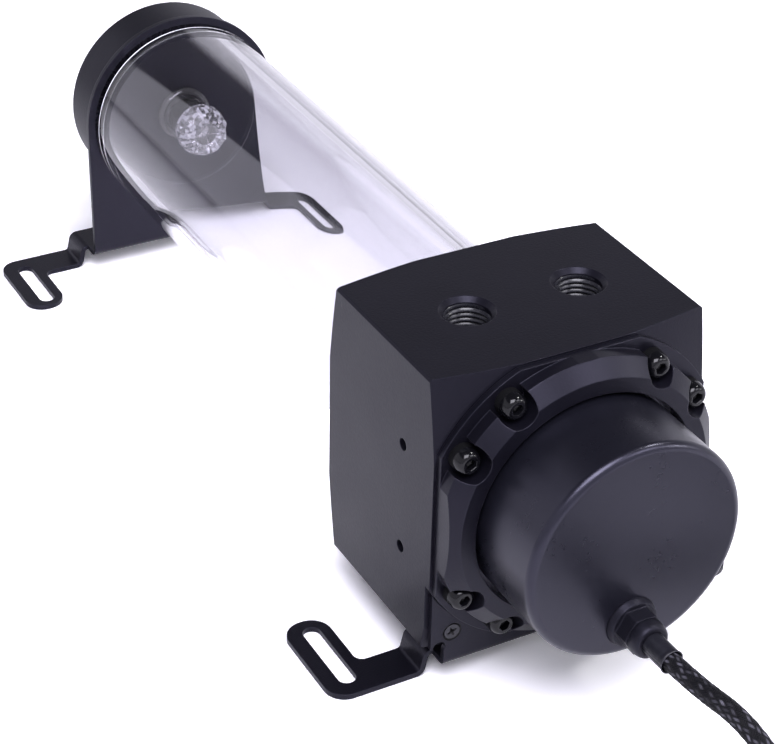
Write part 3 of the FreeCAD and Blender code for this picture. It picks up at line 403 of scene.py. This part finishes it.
def strap_section(grow):
    """A stadium round the two turns, as (out, up) pairs."""
    loop = []
    for k in range(24):
        angle = math.pi * k / 23
        loop.append((COIL_R + (CABLE_R + grow) * math.cos(angle),
                     3 * CABLE_R + (CABLE_R + grow) * math.sin(angle)))
    for k in range(24):
        angle = math.pi + math.pi * k / 23
        loop.append((COIL_R + (CABLE_R + grow) * math.cos(angle),
                     max(0.02, CABLE_R + (CABLE_R + grow) * math.sin(angle))))
    return loop


inner, outer = strap_section(0.05), strap_section(TIE_DEEP)
points, faces, count = [], [], len(inner)
for loop, along in ((inner, -TIE_WIDE / 2), (outer, -TIE_WIDE / 2),
                    (outer, TIE_WIDE / 2), (inner, TIE_WIDE / 2)):
    points += [by_coil(out, along, up) for out, up in loop]
for ring in range(4):
    for k in range(count):
        m, a, b = (k + 1) % count, ring * count, ((ring + 1) % 4) * count
        faces.append((a + k, a + m, b + m, b + k))
# the lock, and then the strap's cut end
for low, high, near, far, half in (
        (2 * CABLE_R, 2 * CABLE_R + TIE_HEAD, COIL_R + CABLE_R + 0.1, COIL_R + CABLE_R + 3.2, TIE_HEAD / 2),
        (2 * CABLE_R + 1.2, 2 * CABLE_R + 3.0, COIL_R + CABLE_R + 0.9, COIL_R + CABLE_R + 3.3, 0.55)):
    base = len(points)
    points += [by_coil(out, along, up)
               for out in (near, far) for along in (-half, half) for up in (low, high)]
    faces += [tuple(base + i for i in f) for f in ((0, 1, 3, 2), (4, 6, 7, 5), (0, 4, 5, 1), (2, 3, 7, 6),
                                                   (0, 2, 6, 4), (1, 5, 7, 3))]
strap = add("tie_strap", points, faces, 30.0)
rounded = strap.modifiers.new("edges", "BEVEL")
rounded.width, rounded.segments, rounded.limit_method = 0.0002, 2, "ANGLE"
strap.data.materials.append(nylon)
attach(strap, "reservoir")
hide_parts("cable_tie")

# The connector: a moulded nylon housing for four contacts, with a lock on its upper side. Brass
# sleeves line its sockets.
wear("power_connector", finished("connector_nylon", (0.016, 0.016, 0.019), 0.4, grain=2200.0, edge=0.0003))
PLUG_LONG, PLUG_TALL, PIN_PITCH = 22.0, 9.0, 4.6
PIN_R, PIN_HOLE_R, PIN_BACK, PIN_FRONT = 1.28, 1.08, -8.9, -0.7


def lathe(name, rows, place, sides=48, closed=True, sharp=30.0, shape=None):
    """A turned piece: rows of (radius, height) spun about an axis. place turns (across, height,
    up) into a point, and shape may change a row's radius with the angle."""
    points, faces = [], []
    for i, (radius, height) in enumerate(rows):
        for k in range(sides):
            angle = 2 * math.pi * k / sides
            reach = shape(i, radius, angle) if shape else radius
            points.append(place(reach * math.cos(angle), height, reach * math.sin(angle)))
    for i in range(len(rows) if closed else len(rows) - 1):
        j = (i + 1) % len(rows)
        for k in range(sides):
            m = (k + 1) % sides
            faces.append((i * sides + k, i * sides + m, j * sides + m, j * sides + k))
    return add(name, points, faces, sharp)


brass = finished("contact_brass", (0.62, 0.44, 0.16), 0.25, mottle=0.1, Metallic=1.0)
for step in (-1.5, -0.5, 0.5, 1.5):
    contact = lathe("contact_%d" % (step * 2 + 4),
                    [(PIN_R, PIN_BACK), (PIN_R, PIN_FRONT), (PIN_HOLE_R, PIN_FRONT), (PIN_HOLE_R, PIN_BACK)],
                    lambda across, along, up: by_coil(-COIL_R + step * PIN_PITCH + across,
                                                      -TAIL - PLUG_LONG - along, PLUG_TALL / 2 + up), 24)
    contact.data.materials.append(brass)
    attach(contact, "reservoir")

# The room: a pale floor that keeps the part's shadow, a white backdrop that ends where the part's
# flat tops stop mirroring it, a slanted white board that the tube mirrors, and soft lamps above and
# at the right.
FLOOR_HALF, FLOOR_DROP = 4, 0.0002
BOARD_PLANE, BOARD_SOFT, BOARD_TOP, BOARD_FADE = (0.663, 0.528, -0.533), 0.006, 0.64, 0.05
BACKDROP_TOP, BACKDROP_FADE, DIM, DIFFUSE_CUT, CAMERA_WHITE = 0.41, 0.035, 0.09, 0.7, 1.15
LAMP_AIM, LAMP_TINT = Vector((0, 0, 0.04)), (0.91, 0.895, 1.0)
floor = add("floor", [(-FLOOR_HALF, -FLOOR_HALF, 0), (FLOOR_HALF, -FLOOR_HALF, 0),
                      (FLOOR_HALF, FLOOR_HALF, 0), (-FLOOR_HALF, FLOOR_HALF, 0)], [(0, 1, 2, 3)])
floor.location.z = -FLOOR_DROP
paper, tree, shader = material("white_paper", rough=0.9, colour=(0.94, 0.935, 0.965))
seen = tree.nodes.new("ShaderNodeLightPath")
shows = sum_up(tree, "MAXIMUM", seen.outputs["Is Camera Ray"],
               sum_up(tree, "MAXIMUM", seen.outputs["Is Glossy Ray"], seen.outputs["Is Transmission Ray"]))
tree.links.new(blend_colour(tree, seen.outputs["Is Camera Ray"], (0.94, 0.935, 0.965), (1.3, 1.29, 1.32)),
               shader.inputs["Base Color"])
tree.links.new(sum_up(tree, "MULTIPLY", shows, 0.02), shader.inputs["Emission Strength"])
shader.inputs["Emission Color"].default_value = (0.93, 0.92, 1.0, 1)
floor.data.materials.append(paper)

world = bpy.data.worlds.new("room")
bpy.context.scene.world = world
world.use_nodes = True
tree = world.node_tree
background = tree.nodes["Background"]
split = tree.nodes.new("ShaderNodeSeparateXYZ")
tree.links.new(tree.nodes.new("ShaderNodeTexCoord").outputs["Generated"], split.inputs[0])


def white_below(value, soft):
    """One where the value is under zero, none where it is over, and a soft change between."""
    edge = tree.nodes.new("ShaderNodeMapRange")
    edge.interpolation_type = "SMOOTHSTEP"
    for socket, at_edge in (("From Min", -soft), ("From Max", soft), ("To Min", 1.0), ("To Max", 0.0)):
        edge.inputs[socket].default_value = at_edge
    tree.links.new(value, edge.inputs["Value"])
    return edge.outputs[0]


board_side = tree.nodes.new("ShaderNodeVectorMath")
board_side.operation = "DOT_PRODUCT"
board_side.inputs[1].default_value = BOARD_PLANE
tree.links.new(split.inputs[0].links[0].from_socket, board_side.inputs[0])
board = sum_up(tree, "MULTIPLY", white_below(board_side.outputs["Value"], BOARD_SOFT),
               white_below(sum_up(tree, "SUBTRACT", split.outputs[2], BOARD_TOP), BOARD_FADE))
backdrop = white_below(sum_up(tree, "SUBTRACT", split.outputs[2], BACKDROP_TOP), BACKDROP_FADE)
glow = sum_up(tree, "MULTIPLY", sum_up(tree, "MAXIMUM", board, backdrop), 1.0 - DIM)
glow = sum_up(tree, "ADD", DIM, glow)
seen = tree.nodes.new("ShaderNodeLightPath")
glow = sum_up(tree, "MULTIPLY", glow, sum_up(tree, "SUBTRACT", 1.0, sum_up(
    tree, "MULTIPLY", seen.outputs["Is Diffuse Ray"], DIFFUSE_CUT)))
background.inputs["Color"].default_value = (0.9, 0.885, 1.0, 1)
to_camera = sum_up(tree, "MULTIPLY", seen.outputs["Is Camera Ray"], CAMERA_WHITE)
tree.links.new(sum_up(tree, "MAXIMUM", glow, to_camera), background.inputs["Strength"])


def lamp(name, spot, wide, tall, power, tint=(1, 1, 1)):
    """A soft box that faces the part."""
    light = bpy.data.lights.new(name, "AREA")
    light.shape = "RECTANGLE"
    light.size, light.size_y, light.energy, light.color = wide, tall, power, tint
    box = bpy.data.objects.new(name, light)
    bpy.context.collection.objects.link(box)
    box.location = spot
    box.rotation_euler = (LAMP_AIM - Vector(spot)).to_track_quat("-Z", "Y").to_euler()


lamp("over_box", (-0.35, -0.75, 1.35), 1.0, 0.9, 35, LAMP_TINT)
lamp("right_box", (0.62, -0.95, 0.95), 0.5, 0.5, 4.8, LAMP_TINT)
lamp("spark_box", (0.95, -0.74, 0.47), 0.12, 0.25, 2.4)
lamp("high_spark", (0.85, -0.15, 1.2), 0.14, 0.14, 5.0)

# The pump top: one block of black acetal, sawn and milled from bar. Its tool marks are too fine
# to see, and leave a satin face. Two ports are tapped G1/4 from above.
BLOCK_TOP, PORT_Y, PORT_R, PORT_DEEP, PORT_MOUTH, PITCH = 39.1, 26.3, 5.9, 14.0, 1.2, 1.337
THREAD_OUT, THREAD_IN, THREAD_STEPS, FADE_IN, FADE_OUT = PORT_R + 0.05, PORT_R - 0.62, 56, 30, 20
ACETAL, ACETAL_EDGE, COOL_TINT = (0.004, 0.0038, 0.0064), (0.018, 0.0175, 0.025), (0.78, 0.76, 1.0, 1)
acetal = finished("black_acetal", ACETAL, 0.38, ACETAL_EDGE, depth=0.14, edge=0.00025,
                  Specular_IOR_Level=0.19, Specular_Tint=COOL_TINT)
wear("pump_top_block", acetal)
thread_face = finished("cut_thread", (0.016, 0.016, 0.021), 0.27, (0.05, 0.05, 0.062), edge=0.00015)
for side, port_x in (("left", -14.5), ("right", 17.0)):
    points, faces = [], []
    turns = (PORT_DEEP - PORT_MOUTH - 1.2) / PITCH
    profile = ((THREAD_OUT, -0.5), (THREAD_IN, -0.1), (THREAD_IN, 0.1), (THREAD_OUT, 0.5))
    rings = int(turns * THREAD_STEPS)
    for i in range(rings + 1):
        angle = 2 * math.pi * i / THREAD_STEPS
        fade = min(1.0, i / FADE_IN, (rings - i) / FADE_OUT)
        middle = BLOCK_TOP - PORT_MOUTH - 0.6 - PITCH * i / THREAD_STEPS
        for radius, lift in profile:
            radius = THREAD_OUT - (THREAD_OUT - radius) * fade
            points.append(at(port_x + radius * math.cos(angle), PORT_Y + radius * math.sin(angle),
                             middle + lift * PITCH))
    for i in range(rings):
        for k in range(3):
            a = 4 * i + k
            faces.append((a, a + 1, a + 5, a + 4))
    thread = add("port_thread_" + side, points, faces, 60.0)
    thread.data.materials.append(thread_face)
    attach(thread, "reservoir")

# What the housing hides: the steel separator with its ceramic ball, the motor and its board, the
# impeller, and the rubber rings in their grooves.
wear("rotor_separator", finished("drawn_steel", (0.55, 0.55, 0.56), 0.3, mottle=0.1, Metallic=1.0))
wear("bearing_ball", finished("white_ceramic", (0.8, 0.8, 0.78), 0.12, mottle=0.03))
wear("motor_stator", finished("varnished_windings", (0.28, 0.11, 0.05), 0.4, mottle=0.5, patches=300.0))
wear("control_board", finished("green_board", (0.01, 0.09, 0.03), 0.35, mottle=0.2, patches=200.0))
wear("impeller_rotor", finished("grey_impeller", (0.05, 0.05, 0.055), 0.45))
rubber = finished("seal_rubber", (0.01, 0.01, 0.011), 0.5, mottle=0.1, depth=0.05)
for node_name in ("pump_seal_ring", "tube_front_seal", "end_cap_seal", "light_guide_seal"):
    wear(node_name, rubber)

# The motor's housing: moulded black plastic, smoother than the machined pieces, with a round
# front edge.
wear("pump_housing", finished("moulded_housing", (0.005, 0.005, 0.008), 0.3, (0.007, 0.007, 0.01),
                              mottle=0.1, grain=700.0, depth=0.03, edge=0.00002, Specular_IOR_Level=0.5,
                              Specular_Tint=COOL_TINT))

# The clamp ring: turned from the same acetal as the block, with four flats and the screws' pockets
# milled into it. Its edges are broken a little more than the block's.
wear("clamp_ring", finished("turned_acetal", ACETAL, 0.33, (0.02, 0.0195, 0.027), depth=0.1,
                            edge=0.0004, Specular_IOR_Level=0.25, Specular_Tint=COOL_TINT))

# Its eight screws: steel with black oxide, with domed heads and hexagon sockets. The low part of
# each head is knurled and dull, and is also painted darker as the shade inside its pocket.
SCREW_RING, SCREW_ANGLE, HEAD_R, HEAD_SEAT, HEAD_TALL = 37.2, math.radians(32.1), 3.4, -1.7, 4.9
HEAD_CROWN, DOME_END, HEX_FLATS, HEX_DEEP, SHANK_R, SHANK_END = 2.8, 1.85, 2.5, 1.9, 1.5, 8.0
oxide = finished("black_oxide", (0.003, 0.003, 0.004), 0.15, (0.016, 0.016, 0.02), mottle=0.3,
                 spread=0.08, patches=400.0, grain=4000.0, depth=0.05, edge=0.00012, Coat_Weight=0.15,
                 Coat_Roughness=0.06, Specular_IOR_Level=0.22)


def hexagon(i, radius, angle):
    """Rows with a negative radius are hexagons, with that distance from the middle to a flat."""
    if radius >= 0:
        return radius
    return -radius / math.cos((angle + math.pi / 6) % (math.pi / 3) - math.pi / 6)


head_rows = [(HEAD_R, 0.0), (HEAD_R, HEAD_TALL - HEAD_CROWN)]
for k in range(1, 7):
    swell = math.radians(90 * k / 7)
    head_rows.append((DOME_END + (HEAD_R - DOME_END) * math.cos(swell) ** 0.9,
                      HEAD_TALL - HEAD_CROWN * (1.0 - math.sin(swell))))
head_rows += [(DOME_END - 0.05, HEAD_TALL), (-HEX_FLATS / 2 - 0.12, HEAD_TALL - 0.05),
              (-HEX_FLATS / 2, HEAD_TALL - 0.25), (-HEX_FLATS / 2, HEAD_TALL - HEX_DEEP),
              (0.001, HEAD_TALL - HEX_DEEP - 0.5)]
# The knurled low side is also painted darker, as the shade inside the screw's pocket.
knurl_painted_shade = finished("knurled_side_painted_shade", (0.0025, 0.0025, 0.0032), 0.65, mottle=0.4, grain=5000.0, depth=0.6,
                 edge=0.0001, Specular_IOR_Level=0.12)
crown_start = at(0, HEAD_SEAT - HEAD_TALL + HEAD_CROWN + 0.05, 0).y
for i, (c, s) in enumerate((a, b) for a in (1, -1) for b in (1, -1)):
    for j, (x, z) in enumerate(((c * math.cos(SCREW_ANGLE), s * math.sin(SCREW_ANGLE)),
                                (c * math.sin(SCREW_ANGLE), s * math.cos(SCREW_ANGLE)))):
        x, z, turn = SCREW_RING * x, SCREW_RING * z, 1.3 * (2 * i + j)
        head = lathe("ring_screw_%d" % (2 * i + j + 1),
                     [(SHANK_R, -SHANK_END), (SHANK_R, 0.0)] + head_rows,
                     lambda across, height, up: at(x + across * math.cos(turn) - up * math.sin(turn),
                                                   HEAD_SEAT - height,
                                                   z + across * math.sin(turn) + up * math.cos(turn)),
                     48, False, 32.0, hexagon)
        head.data.materials.append(oxide)
        head.data.materials.append(knurl_painted_shade)
        # Faces of the low side take the knurled material with its painted shade.
        for face in head.data.polygons:
            face.material_index = 1 if face.center.y > crown_start and abs(face.normal.y) < 0.5 else 0
        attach(head, "reservoir")
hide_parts("clamp_ring_screws")

# The front bracket: sheet steel, cut, bent and powder coated black. The coat is fine grained and
# thinner on the edges.
coat = finished("black_coat", (0.0042, 0.004, 0.0066), 0.36, (0.03, 0.029, 0.037), mottle=0.12,
                grain=2600.0, depth=0.22, edge=0.00028, Specular_IOR_Level=0.27, Specular_Tint=COOL_TINT)
wear("front_bracket", coat)

# Its two screws: steel with flat heads, sunk a little into their countersinks, with cross
# recesses and a gap round them, which are painted near-black as shade. The plating has gone dull
# grey, and a coated rim closes the countersink round the gap.
PLATE_FACE, BRACKET_X, BRACKET_Z, SUNK_R, SUNK, GAP_R, GAP_DEEP = 0.5, 30.4, -34.6, 2.1, 0.1, 2.62, 0.6
RIM_R, RIM_OUT, CROSS_LONG, CROSS_WIDE, CROSS_DEEP = 3.04, -SUNK - 0.02, 1.35, 0.38, 1.0
CROSS_TOP, CROSS_FLOOR, GAP_TOP, RIM_EDGE = 144, 156, 168, 216
plated = finished("dull_plating", (0.024, 0.0235, 0.03), 0.42, (0.055, 0.054, 0.066), mottle=0.4,
                  patches=500.0, edge=0.00015, Specular_IOR_Level=0.4)
# Painted shade: a near-black material for the gap round each head and its cross recess.
painted_gap_shade = finished("painted_recess_shade", (0.004, 0.004, 0.005), 0.6, mottle=0.3, edge=0.0001)
for number, sign in enumerate((-1, 1), start=1):
    tilt = 0.35 + 0.9 * (number - 1)

    def on_head(along, off, turn, deep):
        """A point on the head: along and beside a line turned round its middle, and down into it."""
        turn += tilt
        return at(sign * BRACKET_X + along * math.cos(turn) - off * math.sin(turn),
                  PLATE_FACE + SUNK + deep,
                  BRACKET_Z + along * math.sin(turn) + off * math.cos(turn))

    def circle(radius, deep):
        return [on_head(radius, 0.0, math.pi * k / 24, deep) for k in range(48)]

    def band(first, second, count=48):
        """Faces between two loops of points, given by the number of each one's first point."""
        return [(first + k, first + (k + 1) % count, second + (k + 1) % count, second + k)
                for k in range(count)]

    points = circle(SUNK_R, 0.0) + circle(SUNK_R + 0.06, GAP_DEEP) + circle(GAP_R, 0.2)
    for narrow, deep in ((1.0, 0.0), (0.7, CROSS_DEEP)):
        for k in range(4):
            for along, off in ((CROSS_LONG, -CROSS_WIDE * 0.7), (CROSS_LONG, CROSS_WIDE * 0.7),
                               (CROSS_WIDE, CROSS_WIDE)):
                points.append(on_head(along * narrow, off * narrow, k * math.pi / 2, deep))
    faces = []
    for k in range(4):
        low, later = CROSS_TOP + 3 * k, CROSS_TOP + (3 * k + 3) % 12
        faces.append((low, (12 * k - 1) % 48, 12 * k, 12 * k + 1, low + 1))
        faces.append((low + 1, *range(12 * k + 1, 12 * k + 12), later, low + 2))
    plain = len(faces)
    faces += band(0, 48) + band(48, 96) + band(CROSS_TOP, CROSS_FLOOR, 12)
    faces.append(tuple(range(CROSS_FLOOR, GAP_TOP)))
    points += circle(GAP_R, RIM_OUT)
    faces += band(96, GAP_TOP)
    rim = len(faces)
    points += circle(RIM_R, RIM_OUT)
    faces += band(GAP_TOP, RIM_EDGE)
    screw = add("bracket_screw_%d" % number, points, faces, 30.0)
    screw.data.materials.append(plated)
    screw.data.materials.append(painted_gap_shade)
    screw.data.materials.append(coat)
    # The gap and the cross recesses take the painted shade; the rim takes the coat.
    for face in screw.data.polygons[plain:]:
        face.material_index = 1 if face.index < rim else 2
    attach(screw, "reservoir")
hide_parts("front_bracket_screws")

# The cable gland: moulded nylon, screwed into the housing from in front. Its nut has a rounded
# shoulder and grips the sleeve.
NUT_R, NOSE_R, SHOULDER, BODY_FRONT, NOSE_FRONT = 4.9, 3.7, 0.9, -36.6, -40.0
gland = finished("gland_nylon", (0.0055, 0.0054, 0.008), 0.42, (0.0075, 0.0075, 0.0105), grain=2200.0,
                 edge=0.0007, Specular_IOR_Level=0.24, Specular_Tint=COOL_TINT)
wear("cable_gland_body", gland)
nut_rows = [(SLEEVE_R + 0.02, BODY_FRONT), (NUT_R, BODY_FRONT)]
for k in range(9):
    swell = math.radians(90 * k / 8)
    nut_rows.append((NOSE_R + (NUT_R - NOSE_R) * math.cos(swell) ** 0.7,
                     BODY_FRONT - SHOULDER + (NOSE_FRONT - BODY_FRONT + SHOULDER) * math.sin(swell)))
nut_rows += [(SLEEVE_R + 0.3, NOSE_FRONT), (SLEEVE_R + 0.02, NOSE_FRONT + 0.5)]
nut = lathe("gland_nut_round", nut_rows,
            lambda across, y, up: at(GLAND_X + across, y, GLAND_Z + up), 72)
nut.data.materials.append(gland)
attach(nut, "reservoir")
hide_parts("gland_nut")

# The clear tube: cast acrylic, turned to length and polished, with small chamfers left frosted by
# the tool; these chamfers glow a little, as a painted highlight. It is set into the block in front
# and clamped by the cap behind.
TUBE_R, TUBE_BORE, TUBE_START, TUBE_END, CHAMFER, FAR_CHAMFER = 30.0, 25.0, 36.0, 230.1, 0.35, 0.22
tube = lathe("clear_tube", [(TUBE_BORE, TUBE_START + CHAMFER), (TUBE_BORE + CHAMFER, TUBE_START),
                            (TUBE_R - CHAMFER, TUBE_START), (TUBE_R, TUBE_START + CHAMFER),
                            (TUBE_R, TUBE_END - CHAMFER), (TUBE_R - CHAMFER, TUBE_END),
                            (TUBE_BORE + FAR_CHAMFER, TUBE_END), (TUBE_BORE, TUBE_END - FAR_CHAMFER)],
             lambda across, y, up: at(across, y, up), 256)
clear, tree, shader = material("clear_acrylic", rough=0.015, colour=(0.85, 0.842, 0.88), IOR=1.56,
                               Transmission_Weight=1.0)
seen = tree.nodes.new("ShaderNodeLightPath")
tree.links.new(sum_up(tree, "SUBTRACT", 1.0, sum_up(tree, "MULTIPLY", seen.outputs["Is Shadow Ray"], 0.95)),
               shader.inputs["Alpha"])
tree.links.new(sum_up(tree, "MULTIPLY", noise(tree, 14.0), 0.03), shader.inputs["Roughness"])
# The frosted chamfers at both ends glow: a painted highlight along the tube's end edges.
frosted_painted_glow, tree, shader = material("frosted_acrylic_painted_glow", rough=0.6, Emission_Color=(0.9, 0.9, 1.0, 1),
                                 Emission_Strength=0.75)
tree.links.new(blend_colour(tree, noise(tree, 400.0), (0.62, 0.61, 0.66), (0.85, 0.84, 0.9)),
               shader.inputs["Base Color"])
tube.data.materials.append(clear)
tube.data.materials.append(frosted_painted_glow)
for face in tube.data.polygons:
    if 0.3 < abs(face.normal.y) < 0.9:
        face.material_index = 1
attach(tube, "reservoir")
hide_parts("reservoir_tube")

# The rear bracket is cut, bent and coated as the front one is. The end cap, turned from acetal,
# holds it against the tube.
wear("rear_bracket", coat)
wear("end_cap", acetal)

# The light guide: a clear moulded plug, screwed into the cap from inside the tube. Small facets
# round its head and face throw the diode's light about. Painted glints lie on some of them, and
# the rest are painted with fine dark and white spots as sparkle; its stem and flange are plain.
GUIDE_FACE, GUIDE_HEAD, GUIDE_TIP, GUIDE_FLANGE, GUIDE_SEAT = 207.4, 213.8, 212.3, 223.2, 225.8
GUIDE_END, HEAD_OUT, FACE_OUT, STEM_OUT, FLANGE_OUT, PLUG_OUT, HOLE = 241.0, 8.2, 6.7, 5.9, 8.5, 5.88, 3.0
guide_rows = [(0.001, GUIDE_FACE + 0.5), (0.6, GUIDE_FACE + 0.5), (0.7, GUIDE_FACE + 0.1), (1.1, GUIDE_FACE),
              (1.4, GUIDE_FACE + 0.1), (1.5, GUIDE_FACE + 0.5), (3.5, GUIDE_FACE + 0.5), (4.5, GUIDE_FACE),
              (5.6, GUIDE_FACE + 0.05), (FACE_OUT, GUIDE_FACE + 0.2), (7.6, GUIDE_FACE + 0.9),
              (HEAD_OUT, GUIDE_FACE + 2.0), (HEAD_OUT, GUIDE_FACE + 3.4), (HEAD_OUT, GUIDE_FACE + 4.8),
              (HEAD_OUT - 0.5, GUIDE_HEAD), (STEM_OUT, GUIDE_HEAD + 0.1), (STEM_OUT, GUIDE_FLANGE),
              (FLANGE_OUT - 0.3, GUIDE_FLANGE), (FLANGE_OUT, GUIDE_FLANGE + 0.3),
              (FLANGE_OUT, GUIDE_SEAT - 0.3), (FLANGE_OUT - 0.3, GUIDE_SEAT), (PLUG_OUT, GUIDE_SEAT),
              (PLUG_OUT, GUIDE_END), (HOLE, GUIDE_END), (HOLE, GUIDE_TIP + HOLE),
              (HOLE * 0.7, GUIDE_TIP + HOLE * 0.29), (0.001, GUIDE_TIP)]
FACETS, GUIDE_SIDES, FACET_DEEP = range(7, 14), 44, 0.55
DISC_R, SMOOTH_R, PAINTED_GLINTS_OUT, PAINTED_GLINTS_IN = 0.0038, 0.0036, 0.6, 0.97


def scatter(seed):
    """A number from 0 to 1 that jumps about with the seed, and is the same in each run."""
    value = math.sin(seed) * 43758.5453
    return value - math.floor(value)


def facets(i, radius, angle):
    """The head's rows step in and out a little, so that each face there points its own way."""
    if i not in FACETS:
        return radius
    step = round(angle / (2 * math.pi) * GUIDE_SIDES)
    return radius - FACET_DEEP * scatter(step * 12.9898 + i * 78.233)


def guide_place(across, y, up):
    """The head's facets also stand out and in along the axis."""
    on_head = y < GUIDE_HEAD - 0.3 and math.hypot(across, up) > 4.0
    return at(across, y + (FACET_DEEP * math.sin(9.0 * across + 14.0 * up) if on_head else 0.0), up)


light_guide = lathe("faceted_light_guide", guide_rows, guide_place, GUIDE_SIDES, False, 12.0, facets)
# Painted sparkle: the head's facets take fine spots from dark to white.
crystal, tree, shader = material("faceted_acrylic", rough=0.03, IOR=1.49, Transmission_Weight=0.9)
tree.links.new(blend_colour(tree, noise(tree, 700.0), (0.12, 0.118, 0.14), (1.0, 0.99, 1.0)),
               shader.inputs["Base Color"])
# Painted glints: a paler material for some of the facets.
painted_glint_facet, tree, shader = material("painted_glint_acrylic", rough=0.12, IOR=1.49, Transmission_Weight=0.6)
tree.links.new(blend_colour(tree, noise(tree, 900.0), (0.3, 0.295, 0.34), (0.8, 0.79, 0.86)),
               shader.inputs["Base Color"])
light_guide.data.materials.append(clear)
light_guide.data.materials.append(crystal)
light_guide.data.materials.append(painted_glint_facet)
head_back = at(0, GUIDE_HEAD + 0.05, 0).y
# Random facets of the head take the painted glint, the rest the painted sparkle.
for face in light_guide.data.polygons:
    if face.center.y < head_back:
        out = math.hypot(face.center.x, face.center.z - AXIS_UP / 1000.0)
        bound = PAINTED_GLINTS_OUT if out > DISC_R else PAINTED_GLINTS_IN
        face.material_index = 2 if scatter(face.index * 12.9898) > bound else 1
        face.use_smooth = out < SMOOTH_R
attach(light_guide, "reservoir")
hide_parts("light_guide")
